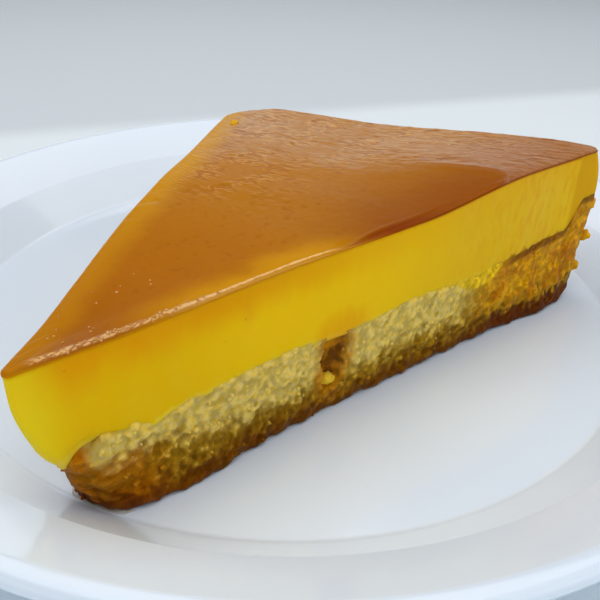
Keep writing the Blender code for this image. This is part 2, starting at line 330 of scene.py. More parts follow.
# %% [markdown]
# ## The plate: glaze
#
# The plate is porcelain: white clay that light enters a little, under a clear glaze
# that is smooth as glass but never quite flat. The glaze pools in hollows and looks
# bluer there. Low roughness gives the shine, a broad faint bump bends its reflections,
# and a slow noise moves the white between warm and blue.

# %% Glazed porcelain
GLAZE_WHITE = (0.775, 0.865, 0.985, 1.0)
GLAZE_BLUE = (0.75, 0.845, 0.97, 1.0)

porcelain, tree, shader = new_finish("glazed_porcelain")
place = flow(tree, "ShaderNodeTexCoord", output="Object")
clouds = noises(place, 22.0, 2.0)
shine = noises(place, 60.0, 3.0)
feed(
    shader,
    {
        "Base Color": mixed(ease(clouds, 0.35, 0.65), GLAZE_WHITE, GLAZE_BLUE),
        "Roughness": ease(shine, 0.3, 0.7, 0.09, 0.17),
        "Normal": bumped(noises(place, 160.0, 1.0), 0.06, 0.0004),
        "Coat Weight": 0.25,
        "Coat Roughness": 0.05,
        "Subsurface Weight": 0.08,
        "Subsurface Radius": (1.0, 1.0, 1.0),
        "Subsurface Scale": 0.0015,
    },
)
print("glaze ready")

# %% [markdown]
# ## The plate: shape
#
# A plate is thrown or pressed on a wheel, so it is one half section turned round an
# axis. A Screw modifier or Spin would do it; here a tree turns the half section itself:
# the corners of the section are joined by a line, each corner is rounded by Fillet
# Curve, and Curve to Mesh carries it round a circle. All sizes stay in one short list.

# %% The plate's half section
PLATE_RADIUS = 85.1 * MM
WELL_TOP_RADIUS = 71.5 * MM
WELL_FLOOR_RADIUS = 63.7 * MM
FLOOR_HEIGHT = 4.8 * MM
WELL_DEPTH = 7.0 * MM
FLANGE_RISE = 5.6 * MM
PLATE_THICKNESS = 3.4 * MM
RIM_THICKNESS = 2.6 * MM
FOOT_RADIUS = 50.0 * MM
FOOT_WIDTH = 4.5 * MM

floor_under = FLOOR_HEIGHT - PLATE_THICKNESS
wall_top = FLOOR_HEIGHT + WELL_DEPTH
lip = wall_top + FLANGE_RISE
section = [
    (0.0, floor_under),
    (FOOT_RADIUS - FOOT_WIDTH - 2.2 * MM, floor_under),
    (FOOT_RADIUS - FOOT_WIDTH + 0.3 * MM, 0.0),
    (FOOT_RADIUS - 0.3 * MM, 0.0),
    (FOOT_RADIUS + 1.6 * MM, floor_under + 0.2 * MM),
    (WELL_FLOOR_RADIUS + 1.4 * MM, floor_under + 0.6 * MM),
    (WELL_TOP_RADIUS + 1.4 * MM, wall_top - PLATE_THICKNESS),
    (PLATE_RADIUS, lip - RIM_THICKNESS),
    (PLATE_RADIUS, lip),
    (PLATE_RADIUS - RIM_THICKNESS, lip),
    (WELL_TOP_RADIUS + 0.6 * MM, wall_top),
    (WELL_FLOOR_RADIUS + 0.2 * MM, FLOOR_HEIGHT),
    (0.0, FLOOR_HEIGHT),
]
section_mesh = bpy.data.meshes.new("porcelain_plate")
steps = [(i, i + 1) for i in range(len(section) - 1)]
section_mesh.from_pydata([(r, z, 0.0) for r, z in section], steps, [])
porcelain_plate = new_piece("porcelain_plate", section_mesh)
print("half section of", len(section), "corners")

# %% Turning the plate
CIRCLE_RADIUS = 1.0
PLATE_SEGMENTS = 180
CORNER_ROUNDING = 1.8 * MM
POLE_MERGE = 0.01 * MM

tree, given = shape_tree("turned_on_a_wheel", ["Corner Rounding"], ["Segments"])
line = flow(tree, "GeometryNodeMeshToCurve", {0: given["Mesh"]})
corners = {"Curve": line, "Radius": given["Corner Rounding"], "Count": 6, "Limit Radius": True}
rounded = flow(tree, "GeometryNodeFilletCurve", corners, mode="POLY")
shift = {"Geometry": rounded, "Translation": (-CIRCLE_RADIUS, 0.0, 0.0)}
outward = flow(tree, "GeometryNodeTransform", shift)
circle = {"Resolution": given["Segments"], "Radius": CIRCLE_RADIUS}
wheel = flow(tree, "GeometryNodeCurvePrimitiveCircle", circle)
turned = flow(tree, "GeometryNodeCurveToMesh", {"Curve": wheel, "Profile Curve": outward})
closed = flow(tree, "GeometryNodeMergeByDistance", {"Geometry": turned, "Distance": POLE_MERGE})
upright = flow(tree, "GeometryNodeTransform", {"Geometry": closed, "Rotation": (math.pi, 0.0, 0.0)})
finish_tree(tree, upright, given["Finish"])
plate_values = {"Segments": PLATE_SEGMENTS, "Corner Rounding": CORNER_ROUNDING, "Finish": porcelain}
run_tree(porcelain_plate, tree, plate_values)
plate_points = np.array([v.co for v in porcelain_plate.data.vertices])
print("plate spans", plate_points.min(0).round(4), plate_points.max(0).round(4))

# %% [markdown]
# ## The wedge: its outline
#
# Every layer of the slice shares one outline: a straight front cut, the round rim that
# stood against the pan, a back cut, and three corners. So the outline is written once,
# as a rule that answers "where is the wall at this height?", and each layer asks it at
# its own heights. Distances are measured from the point where the two cuts meet.

# %% Sizes of the wedge
LENGTH = 115.4 * MM
BACK_LENGTH = 111.6 * MM
TIP_ANGLE = math.radians(42.5)
RIM_BOW = 2.4 * MM
BACK_CUT_BOW = 1.4 * MM
FRONT_CORNER_ROUND = 3.0 * MM
BACK_CORNER_ROUND = 12.0 * MM
TIP_ROUND = 2.0 * MM
TIP_LEAN = 6.0 * MM
RIM_BULGE = 3.1 * MM
BULGE_SKEW = 2.0
CORNER_FULLNESS = (0.6, 0.38, 0.4)
RIM_FOOT_RETREAT = 2.6 * MM
RETREAT_LEVEL = 0.06  # levels run from 0 at the foot to 1 at the top
LEAN_LEVELS = (0.25, 0.85)
APEX = np.array([-73.4 * MM, -6.9 * MM])
FOOT_HEIGHT = FLOOR_HEIGHT + 0.3 * MM
MIDDLE = np.array([0.62 * LENGTH, 0.0])


def smoothstep(low, high, value):
    """0 below low, 1 above high, and a smooth rise between."""
    share = np.clip((value - low) / (high - low), 0.0, 1.0)
    return share * share * (3.0 - 2.0 * share)


def rising(low, high, value):
    """The same rise, with low and high in millimetres."""
    return smoothstep(low * MM, high * MM, value)


def between(first, second, third, last, value):
    """1 from second to third, easing to 0 at first and last, all in millimetres."""
    return rising(first, second, value) * (1.0 - rising(third, last, value))


def bump_at(value, middle, width):
    """1 at middle, falling away over width on both sides."""
    return np.exp(-(((value - middle) / width) ** 2))


# %% The outline rule
def edge_point(start, end, bow, cut_start, cut_end, share):
    """Points on an edge from start to end that stands out by bow, shortened at both ends."""
    along = end - start
    length = np.linalg.norm(along, axis=1, keepdims=True)
    outward = np.stack([along[:, 1], -along[:, 0]], 1) / length
    first = cut_start[:, None] / length
    last = 1.0 - cut_end[:, None] / length
    part = first + (last - first) * share[:, None]
    return start + along * part + outward * bow * 4.0 * part * (1.0 - part)


def corner_point(before, corner, after, fullness, share):
    """Points on the curve that rounds a corner, from a straight chop, 0, to nearly sharp, 1."""
    s = share[:, None]
    leave = before + (corner - before) * fullness
    arrive = after + (corner - after) * fullness
    back = 1.0 - s
    return before * back**3 + 3 * leave * back**2 * s + 3 * arrive * back * s**2 + after * s**3


def outline(side, share, level, setback=0.0):
    """Plan points of the wall at a level from 0, the foot, to 1, the top.

    Sides 0 to 5 are the front cut, front corner, rim, back corner, back cut and tip.
    """
    half = TIP_ANGLE / 2.0
    level = np.broadcast_to(level, share.shape)
    swell = RIM_BULGE * np.sin(np.pi * np.clip(level, 0, 1) ** BULGE_SKEW)
    out = swell - RIM_FOOT_RETREAT * np.exp(-level / RETREAT_LEVEL)
    tip = np.zeros((len(share), 2))
    front = np.stack([(LENGTH + out) * np.cos(half), -(LENGTH + out) * np.sin(half)], 1)
    back = np.stack([(BACK_LENGTH + out) * np.cos(half), (BACK_LENGTH + out) * np.sin(half)], 1)
    chop = TIP_ROUND + TIP_LEAN * (1.0 - smoothstep(*LEAN_LEVELS, level)) + setback
    front_cut = np.full(share.shape, FRONT_CORNER_ROUND)
    back_cut = np.full(share.shape, BACK_CORNER_ROUND)
    edges = (
        (tip, front, 0.0, chop, front_cut),
        (front, back, RIM_BOW, front_cut, back_cut),
        (back, tip, BACK_CUT_BOW, back_cut, chop),
    )
    zero, one = np.zeros(share.shape), np.ones(share.shape)
    points = np.zeros((len(share), 2))
    for number, fullness in enumerate(CORNER_FULLNESS):
        straight = edge_point(*edges[number], share)
        following = edges[(number + 1) % 3]
        start, finish = edge_point(*edges[number], one), edge_point(*following, zero)
        turned = corner_point(start, following[0], finish, fullness, share)
        points[side == 2 * number] = straight[side == 2 * number]
        points[side == 2 * number + 1] = turned[side == 2 * number + 1]
    return points


# %% [markdown]
# ## The wedge: heights of its layers
#
# The top isn't flat. It rises behind the tip, sinks a little in the middle, and climbs to a
# broad border along the rim; the whole back side lies lower. Where sponge meets custard
# the line wavers, thins at the tip, and near the rim the sponge climbs the pan's wall. The
# soaked foot is soft, and in two places it has spread out of the front cut.

# %% Height rules
TIP_HEIGHT = 27.7 * MM
SHOULDER_RISE, SHOULDER_SPAN = 1.5 * MM, (0.08, 0.42)  # spans are shares of the length
RIM_RISE, RIM_SPAN = 2.1 * MM, (0.58, 0.82)
MIDDLE_DIP, DIP_AT, DIP_WIDTH = 0.3 * MM, 0.5, 0.12
EDGE_DROP, EDGE_SPAN = 0.7 * MM, (0.0, 0.12)
BACK_DROP, BACK_SPAN = 3.1 * MM, (0.5, 0.82)
BACK_SPREAD = 0.65
SPONGE_HEIGHT = 13.9 * MM
SPONGE_SLOPE, SLOPE_RUNS = 1.0 * MM, (18.0, 38.0)  # runs are millimetres from the tip
STEP_DROP, STEP_AT, STEP_WIDTH = 1.6 * MM, 16.5 * MM, 2.2 * MM
TIP_SPONGE_DROP = 4.7 * MM
TIP_SPONGE_RUN = 10.0 * MM
SPONGE_WAVE = 0.6 * MM
WAVE_SIZE = 11.1 * MM
SPONGE_RAMP, RAMP_FROM = 1.5 * MM, 0.70 * LENGTH
COLLAR_RISE = 5.8 * MM
COLLAR_WIDTH = 1.5 * MM
COLLAR_SLOPE = 4.2 * MM


def top_height(plan):
    """Height of the top above the wedge's foot."""
    run = np.linalg.norm(plan, axis=1) / LENGTH
    sideways = np.arctan2(plan[:, 1], np.maximum(plan[:, 0], MM)) / TIP_ANGLE + 0.5
    shoulder = SHOULDER_RISE * smoothstep(*SHOULDER_SPAN, run)
    rise = RIM_RISE * smoothstep(*RIM_SPAN, run)
    dip = MIDDLE_DIP * bump_at(run, DIP_AT, DIP_WIDTH)
    drop = EDGE_DROP * smoothstep(*EDGE_SPAN, run) + BACK_DROP * smoothstep(*BACK_SPAN, run)
    return TIP_HEIGHT + shoulder + rise - dip - drop * smoothstep(0.0, BACK_SPREAD, sideways)


def at_level(plan, height):
    """Plan points as points of space, all at one height."""
    return np.column_stack([plan, np.full(len(plan), height)])


def ripples(points, scale, octaves=1):
    """Smooth noise from about -1 to 1 at each point; scale is its wavelength in metres."""
    found = [noise.fractal(Vector(p / scale), 1.0, 2.0, octaves) for p in points]
    return np.array(found)


def sponge_height(plan):
    """Height of the line between sponge and custard above the wedge's foot."""
    run = np.linalg.norm(plan, axis=1)
    wave = SPONGE_WAVE * ripples(at_level(plan, 33.3 * MM), WAVE_SIZE)
    inner = (LENGTH + BACK_LENGTH) / 2.0 - COLLAR_WIDTH
    thin = TIP_SPONGE_DROP * (1.0 - smoothstep(0.0, TIP_SPONGE_RUN, run))
    thin += STEP_DROP * bump_at(run, STEP_AT, STEP_WIDTH)
    thin += SPONGE_SLOPE * (1.0 - rising(*SLOPE_RUNS, run))
    ramp = SPONGE_RAMP * smoothstep(RAMP_FROM, inner, run)
    collar = COLLAR_RISE * smoothstep(inner - COLLAR_SLOPE, inner, run)
    return SPONGE_HEIGHT - thin + wave + ramp + collar


# %% The soft foot
FOOT_SAGS = ((22.0 * MM, 12.0 * MM, 1.8 * MM), (104.0 * MM, 10.0 * MM, 1.6 * MM))
SAG_LEVEL = 0.34
SAG_FADE = 4.0 * MM
FRONT_ALONG = np.array([math.cos(TIP_ANGLE / 2.0), -math.sin(TIP_ANGLE / 2.0)])
FRONT_INWARD = np.array([math.sin(TIP_ANGLE / 2.0), math.cos(TIP_ANGLE / 2.0)])


def foot_sag(plan, level):
    """How far the soft foot has spread out of the front cut at plan points and a level."""
    near = 1.0 - smoothstep(0.0, SAG_FADE, plan @ FRONT_INWARD)
    low = 1.0 - smoothstep(0.0, SAG_LEVEL, level)
    along = plan @ FRONT_ALONG
    return near * low * sum(width * bump_at(along, at, length) for at, length, width in FOOT_SAGS)


# %% Walking round the wall
RIM_ARC = 0.68 * LENGTH
TIP_ARC = 4.0 * MM
SIDE_LENGTHS = (LENGTH, FRONT_CORNER_ROUND, RIM_ARC, BACK_CORNER_ROUND, BACK_LENGTH, TIP_ARC)
FEWEST_STATIONS = 6


def stations(spacing):
    """Side and share of points about spacing apart, once round the wall."""
    sides, shares = [], []
    for side, length in enumerate(SIDE_LENGTHS):
        count = max(FEWEST_STATIONS, round(length / spacing))
        sides += [side] * count
        shares += [step / count for step in range(count)]
    return np.array(sides), np.array(shares)


def wall_ring(side, share, level, lift=0.0, inset=0.0, setback=0.0):
    """Points once round the wall at a level, moved up by lift and inwards by inset."""
    plan = outline(side, share, level, setback)
    height = level * top_height(plan)
    ahead, behind = np.roll(plan, -1, 0), np.roll(plan, 1, 0)
    along = ahead - behind
    inward = np.stack([-along[:, 1], along[:, 0]], 1)
    inward /= np.linalg.norm(inward, axis=1, keepdims=True)
    inset = np.broadcast_to(inset, share.shape)
    sag = foot_sag(plan, level)
    plan = plan + inward * inset[:, None] - FRONT_INWARD * sag[:, None]
    return np.column_stack([plan, height + lift])


def inner_rings(ring, scales, height_at):
    """Rings from a wall ring to the middle, on the face that height_at gives."""
    rings = []
    for scale in scales:
        plan = MIDDLE + (ring[:, :2] - MIDDLE) * scale
        rings.append(np.column_stack([plan, height_at(plan)]))
    return rings


def closed_shell(name, rings, finish):
    """A closed mesh from stacked rings: its two ends are fans that meet at a point."""
    count = len(rings[0])
    rows = np.array(rings)
    points = np.concatenate([rows.reshape(-1, 3), rows[0].mean(0)[None], rows[-1].mean(0)[None]])
    here = np.arange(count)
    beside = np.roll(here, -1)
    faces = []
    for row in range(len(rings) - 1):
        low, high = row * count, (row + 1) * count
        faces += np.stack([low + here, low + beside, high + beside, high + here], 1).tolist()
    bottom, top = len(points) - 2, len(points) - 1
    last = (len(rings) - 1) * count
    faces += [(bottom, int(b), int(a)) for a, b in zip(here, beside)]
    faces += [(top, int(last + a), int(last + b)) for a, b in zip(here, beside)]
    points[:, :2] += APEX
    points[:, 2] += FOOT_HEIGHT
    print(name, len(points), "points", len(faces), "faces")
    return smooth_piece(name, points.tolist(), faces, finish)


def note_on(piece, name, values):
    """Stores one number for each point of a piece, for trees and materials to read."""
    attribute = piece.data.attributes.new(name, "FLOAT", "POINT")
    attribute.data.foreach_set("value", np.asarray(values, dtype=np.float32))

# %% [markdown]
# ## Where on the slice is this point?
#
# Colour in food follows place: syrup sinks to the bottom, the rim bakes darker, the tip
# dries first. Every food material here asks the same question, so the answer is one
# shader group. From the point's own coordinates it gives, in millimetres, the distance
# from the wedge's tip, along and in from the front cut, in from the back cut, and up.

# %% The place group
MM_PER_METRE = 1000.0
half_sine, half_cosine = math.sin(TIP_ANGLE / 2.0), math.cos(TIP_ANGLE / 2.0)
DIRECTIONS = {
    "Along": (half_cosine, -half_sine, 0.0),
    "Inset": (half_sine, half_cosine, 0.0),
    "Back Inset": (half_sine, -half_cosine, 0.0),
    "Height": (0.0, 0.0, 1.0),
}

tree = bpy.data.node_groups.new("place_on_the_wedge", "ShaderNodeTree")
for label in ("Run", *DIRECTIONS):
    tree.interface.new_socket(label, in_out="OUTPUT", socket_type="NodeSocketFloat")
tree.interface.new_socket("Place", in_out="OUTPUT", socket_type="NodeSocketVector")
point = flow(tree, "ShaderNodeTexCoord", output="Object")
moved = vectors("SUBTRACT", point, (*APEX.tolist(), FOOT_HEIGHT))
in_mm = vectors("MULTIPLY", moved, (MM_PER_METRE, MM_PER_METRE, MM_PER_METRE))
answers = {"Place": in_mm}
for label, direction in DIRECTIONS.items():
    answers[label] = vectors("DOT_PRODUCT", in_mm, direction, "Value")
level_plan = vectors("MULTIPLY", in_mm, (1.0, 1.0, 0.0))
answers["Run"] = vectors("LENGTH", level_plan, output="Value")
put(tree, "NodeGroupOutput", answers)
place_group = tree
print("place group answers", list(answers))


# %% Small helpers for food materials
def food_material(name):
    """A new material: its tree, its shader's inputs, and the answers of the place group."""
    made, tree, shader = new_finish(name)
    asked = put(tree, "ShaderNodeGroup", node_tree=place_group)
    at = {name.lower().replace(" ", "_"): answer for name, answer in flows(asked).items()}
    return made, tree, shader, SimpleNamespace(**at)


def mottle(place, size, detail=2.0, stretch=(1.0, 1.0, 1.0), shift=0.0):
    """Noise from 0 to 1 whose blotches are about size millimetres."""
    inputs = {"Vector": place, "Location": (shift, shift, shift), "Scale": stretch}
    return noises(flow(place.tree, "ShaderNodeMapping", inputs), 1.0 / size, detail)


def note_read(tree, name):
    """The number that note_on stored on the piece."""
    return flow(tree, "ShaderNodeAttribute", output="Fac", attribute_name=name)


# %% [markdown]
# ## Pits
#
# Both custard and caramel carry a few small bubbles that broke on the surface. A Voronoi
# texture gives every cell of space a centre and a random colour: keeping only the few
# cells whose colour is bright, and only the part near their centre, leaves scattered
# round spots. One group makes the mask for both.

# %% The pits group
pits_group = bpy.data.node_groups.new("burst_bubbles", "ShaderNodeTree")
pits_group.interface.new_socket("Place", in_out="INPUT", socket_type="NodeSocketVector")
for label in ("Spacing", "Radius", "Share Kept"):
    pits_group.interface.new_socket(label, in_out="INPUT", socket_type="NodeSocketFloat")
pits_group.interface.new_socket("Mask", in_out="OUTPUT", socket_type="NodeSocketFloat")
given = flows(put(pits_group, "NodeGroupInput"))
per_mm = 1.0 / given["Spacing"]
scaled = {"Vector": given["Place"], "Scale": per_mm}
cells = flows(put(pits_group, "ShaderNodeTexVoronoi", scaled))
chance = flow(pits_group, "ShaderNodeSeparateColor", {0: cells["Color"]})
kept = sums("LESS_THAN", chance, given["Share Kept"])
near = ease(cells["Distance"], 0.0, given["Radius"] * per_mm, 1.0, 0.0)
put(pits_group, "NodeGroupOutput", {0: near * kept})


def pits(place, spacing, radius, share_kept):
    """A mask of scattered round spots."""
    inputs = {"Place": place, "Spacing": spacing, "Radius": radius, "Share Kept": share_kept}
    return flow(place.tree, "ShaderNodeGroup", inputs, "Mask", node_tree=pits_group)


# %% [markdown]
# ## The custard: colour and light
#
# Egg yolk custard is a smooth gel: light goes a few millimetres in and comes out again,
# redder and more saturated, which is why it glows where it is thin, at the tip. It is
# deeper orange under the caramel, which bleeds into it, streaked along the knife's path
# near the rim, and darker in the last few millimetres before the rim.

# %% Yolk custard
YOLK = (0.85, 0.525, 0.003, 1.0)
YOLK_RIM = (0.66, 0.39, 0.010, 1.0)
YOLK_STAINED = (0.76, 0.33, 0.002, 1.0)
YOLK_PALE = (0.84, 0.61, 0.04, 1.0)
YOLK_DEEP = (0.78, 0.475, 0.0025, 1.0)
YOLK_TIP_PAINTED_GLOW = (0.80, 0.60, 0.010, 1.0)
YOLK_DARKER_AT_RIM_SIDE = (0.64, 0.32, 0.002, 1.0)
YOLK_PIT_PAINTED_SHADE = (0.50, 0.27, 0.005, 1.0)
YOLK_CRUST = (0.32, 0.10, 0.002, 1.0)
YOLK_MILKY = (0.86, 0.62, 0.05, 1.0)
HALO_ALONG, HALO_HALF_WIDTH = 51.5, 5.5
HALO_HEIGHT, HALO_HALF_HEIGHT = 14.0, 4.0

custard, tree, shader, at = food_material("yolk_custard")
clouds = mottle(at.place, 9.0, shift=3.0)
streaks = mottle(at.place, 2.2, 2.0, (1.0, 1.0, 0.22))
specks = mottle(at.place, 0.9, 3.0, shift=21.0)
below = note_read(tree, "below_top")
above = note_read(tree, "above_sponge")
# streaks that the knife dragged, stronger towards the rim
toward_rim = ease(at.run, 62.0, 104.0, 0.08, 0.55)
streaked = ease(streaks, 0.45, 0.75) * toward_rim
# patches that baked orange near the rim
baked = mottle(at.place, 1.5, 3.0, (1.0, 1.0, 0.45), 41.0)
baked = ease(baked, 0.42, 0.66) * ease(at.run, 66.0, 98.0, 0.0, 0.75)
# a milky line over the sponge
seam = above + specks * -2.4
# caramel that bled down from the top
bled = below + clouds * -4.0
bled = bled + (streaks - 0.5) * -3.5
bleed = ease(bled, -0.8, 5.8, 1.0, 0.0) * ease(at.along, 25.0, 75.0, 1.0, 0.25)
bleed = bleed * ease(at.run, 2.5, 9.0, 0.15, 1.0)
# the deep line right under the caramel, and its crust farther on
fringe = ease(below - specks, 0.9, 0.0, 0.0, 0.8)
rim_line = ease(below, 0.95, 0.55) * ease(at.run, 56.0, 72.0, 0.0, 0.75)
# the crust over the sponge at the rim
over_sponge = above - (specks - 0.5) * 2.2
over_sponge = over_sponge - (streaks - 0.5) * 2.6
crusted = ease(over_sponge, 1.1, 0.0) * ease(at.run, 82.0, 94.0, 0.0, 0.85)
# an orange halo above the syrup pocket
pocket_along = (at.along - HALO_ALONG) / HALO_HALF_WIDTH
pocket_up = (at.height - HALO_HEIGHT) / HALO_HALF_HEIGHT
pocket_away = pocket_along * pocket_along + pocket_up * pocket_up
near_front = ease(at.inset, 6.0, 2.0)
pocket_away = pocket_away + (streaks - 0.5) * 2.4
halo = ease(pocket_away, 1.8, 0.0, 0.0, 0.65) * near_front
# darker in the last millimetres before the rim
rim_side_start = at.run + clouds * 1.5
bubbles = pits(at.place, 3.4, 0.34, 0.25)
colour = painted(
    YOLK,
    (ease(at.run, 38.0, 20.0), YOLK_DEEP),
    # a paler yellow at the thin tip: painted glow of light through the custard
    (ease(at.run, 9.0, 2.5), YOLK_TIP_PAINTED_GLOW),
    (streaked, YOLK_PALE),
    (baked, YOLK_STAINED),
    (ease(at.run, 54.0, 84.0, 0.0, 0.5), YOLK_RIM),
    (ease(seam, -1.2, -0.2, 0.6, 0.0), YOLK_MILKY),
    (bleed, YOLK_STAINED),
    (fringe, YOLK_STAINED),
    (rim_line, YOLK_CRUST),
    (crusted, YOLK_CRUST),
    (halo, YOLK_STAINED),
    (ease(rim_side_start, 108.6, 110.0, 0.0, 0.85), YOLK_DARKER_AT_RIM_SIDE),
    # darker in the burst bubble pits: painted shade
    (bubbles * 0.5, YOLK_PIT_PAINTED_SHADE),
)
satin = ease(clouds, 0.3, 0.7, 0.34, 0.46) + ease(at.run, 100.0, 108.0, 0.0, 0.2)
grain = mottle(at.place, 0.5, 3.0)
drag = streaks * toward_rim
relief = grain * 0.15 + drag * 0.3
relief = relief - bubbles * 0.6
feed(
    shader,
    {
        "Base Color": colour,
        "Roughness": satin,
        "Normal": bumped(relief, 0.5, 0.0003),
        "Subsurface Weight": 0.5,
        "Subsurface Radius": (1.0, 0.55, 0.08),
        "Subsurface Scale": 0.0022,
        "IOR": 1.36,
        "Specular IOR Level": 0.08,
        "Specular Tint": (1.0, 0.8, 0.15, 1.0),
    },
)
print("custard material has", len(tree.nodes), "nodes")

# %% [markdown]
# ## The custard: shape
#
# The block fills the space between the wavering top of the sponge and the caramel. Its
# cut faces are nearly flat, with the slow waves a long knife leaves. It runs a hair's
# breadth into both neighbours, so that no gap shows between the layers.

# %% The custard block
CARAMEL_THICK = 0.80 * MM
CARAMEL_THIN = 0.50 * MM
THINNING_RUNS = (35.0, 66.0)
OVERLAP = 0.15 * MM
CUT_WAVE, WAVE_LENGTH = 0.12 * MM, 9.0 * MM
CUT_SCORE, SCORE_LENGTH = 0.25 * CUT_WAVE, 1.7 * MM
CUT_BACK = 0.1 * MM
CUSTARD_SPACING = 0.5 * MM
CUSTARD_ROWS = 34
HIDDEN_HEM = ((-1.0, 0.9), (-0.7, 0.5), (-0.35, 0.28), (0.0, 0.16))
HEM_TOP = 0.35 * MM
TIP_TUCK = 1.1 * MM
TUCK_SHARE = 0.22
TUCK_RUNS = (4.0, 11.0)
INNER_SCALES = (0.97, 0.93, 0.87, 0.8, 0.72, 0.64, 0.55, 0.46, 0.37, 0.28, 0.19, 0.09)


def caramel_depth(plan):
    """Thickness of the caramel: thick towards the tip, thin towards the rim."""
    run = np.linalg.norm(plan, axis=1)
    return CARAMEL_THICK + (CARAMEL_THIN - CARAMEL_THICK) * rising(*THINNING_RUNS, run)


def sponge_level(side, share):
    """The level at which sponge gives way to custard in the wall."""
    plan = outline(side, share, 0.5)
    return sponge_height(plan) / top_height(plan)


def custard_top(plan):
    """Height of the custard's top, a little inside the caramel."""
    return top_height(plan) - caramel_depth(plan) + OVERLAP


def custard_foot(plan):
    """Height of the custard's underside, a little inside the sponge."""
    return sponge_height(plan) - 4.0 * OVERLAP


side, share = stations(CUSTARD_SPACING)
line_level = sponge_level(side, share)
low = line_level + HEM_TOP / TIP_HEIGHT
upper_plan = outline(side, share, 1.0)
high = 1.0 - (caramel_depth(upper_plan) - OVERLAP) / top_height(upper_plan)
tuck = TIP_TUCK * (1.0 - rising(*TUCK_RUNS, np.linalg.norm(upper_plan, axis=1)))
walls = []
for lift, inset in HIDDEN_HEM:
    walls.append(wall_ring(side, share, line_level, lift=lift * MM, inset=inset * MM + tuck))
for part in np.linspace(0.0, 1.0, CUSTARD_ROWS):
    level = low + (high - low) * part
    ring = wall_ring(side, share, level)
    waves = CUT_WAVE * ripples(ring * (1.0, 1.0, 0.4), WAVE_LENGTH)
    waves += CUT_SCORE * ripples(ring * (1.0, 1.0, 0.15), SCORE_LENGTH)
    tucked = tuck * max(0.0, 1.0 - part / TUCK_SHARE) ** 2
    walls.append(wall_ring(side, share, level, inset=waves + CUT_BACK + tucked))
under = inner_rings(walls[0], INNER_SCALES, custard_foot)[::-1]
over = inner_rings(walls[-1], INNER_SCALES, custard_top)
custard_block = closed_shell("custard_block", under + walls + over, custard)
custard_points = np.array([v.co for v in custard_block.data.vertices])
plan = custard_points[:, :2] - APEX
below_top = (top_height(plan) + FOOT_HEIGHT - custard_points[:, 2]) / MM
note_on(custard_block, "below_top", below_top)
above_sponge = (custard_points[:, 2] - FOOT_HEIGHT - sponge_height(plan)) / MM
note_on(custard_block, "above_sponge", above_sponge)

# %% [markdown]
# ## The sponge: colour
#
# The sponge drank syrup from below. Its upper half is still pale and dry, its lower half
# is olive brown and its foot nearly black; the tip and the rim, where syrup ran in from
# the side too, are orange. The border between dry and wet is speckled, because each
# granule is wet or dry as a whole: the shape tree below leaves a note of how far every
# point stands out, and the proud ones count as higher. Where custard soaked in from
# above there is a yellow edge.

# %% Soaked sponge
CRUMB_PALE = (0.79, 0.59, 0.165, 1.0)
CRUMB_YELLOW = (0.64, 0.44, 0.065, 1.0)
CRUMB_OLIVE = (0.40, 0.22, 0.008, 1.0)
CRUMB_BROWN = (0.19, 0.060, 0.001, 1.0)
CRUMB_DARK = (0.135, 0.024, 0.0005, 1.0)
CRUMB_ORANGE = (0.74, 0.38, 0.006, 1.0)
CRUMB_WET_GRAIN_PAINTED_LIGHT = (0.66, 0.46, 0.06, 1.0)
CRUMB_RUST = (0.47, 0.145, 0.001, 1.0)
CRUMB_CUSTARD = (0.86, 0.55, 0.012, 1.0)
POCKET_BROWN = (0.22, 0.075, 0.002, 1.0)
POCKET_AMBER = (0.50, 0.20, 0.004, 1.0)

soaked_sponge, tree, shader, at = food_material("soaked_sponge")
ragged = mottle(at.place, 3.2, 3.0)
fine = mottle(at.place, 0.7, 3.0, shift=7.0)
broad = mottle(at.place, 6.0, 2.0, shift=11.0)
proud = note_read(tree, "proud")
from_top = note_read(tree, "from_top")
height = at.height + ragged * 5.0
height = height + proud * 2.0
height = height - 3.3
# the wavering height to which the syrup rose
dry_line = ease(at.run, 12.0, 34.0, 9.2, 6.8)
dry = ease(height - dry_line, -2.2, 1.8)
dry = dry * ease(at.run, 77.0, 85.0, 1.0, 0.0)
dry = dry * ease(at.run, 8.0, 10.0)
# paler granules in random patches of the wet part, only where they stand proud: painted light on
# their tops
grains = mottle(at.place, 1.5, 2.0, shift=27.0)
wet_grain_tone_and_painted_light = ease(proud, 0.4, 0.85) * ease(grains, 0.46, 0.6)
wet_grain_tone_and_painted_light = wet_grain_tone_and_painted_light * ease(height, 2.5, 6.5, 0.0, 0.9)
wet_grain_tone_and_painted_light = wet_grain_tone_and_painted_light * ease(at.run, 74.0, 86.0, 1.0, 0.25)
# rust at the tip and orange at the rim
at_tip = ease(at.run, 22.0, 13.0) * ease(broad, 0.3, 0.6, 0.4, 1.0)
at_rim = ease(at.run, 78.0, 90.0)
rim_crumb = painted(
    CRUMB_ORANGE,
    (ease(ragged, 0.34, 0.66, 0.1, 0.85), CRUMB_RUST),
    # paler orange on the proud granules: painted light
    (ease(proud, 0.5, 1.0, 0.0, 0.25), CRUMB_ORANGE),
)
rim_wet = ease(height, 3.4, 6.2)
wet = painted(
    CRUMB_BROWN,
    (ease(height, 1.0, 6.0), CRUMB_OLIVE),
    (ease(at.run, 54.0, 34.0, 0.0, 0.22), CRUMB_DARK),
    (wet_grain_tone_and_painted_light, CRUMB_WET_GRAIN_PAINTED_LIGHT),
    (at_tip * 0.85, CRUMB_RUST),
    (ease(height, 3.6, 2.0) * at_tip, CRUMB_DARK),
    (at_rim * rim_wet, rim_crumb),
    (at_rim * ease(height, 4.4, 2.8, 0.0, 0.85), CRUMB_DARK),
)
pale = painted(
    CRUMB_PALE,
    (ease(fine, 0.42, 0.62), CRUMB_YELLOW),
    (ease(at.run, 76.0, 86.0, 0.0, 0.7), CRUMB_YELLOW),
)
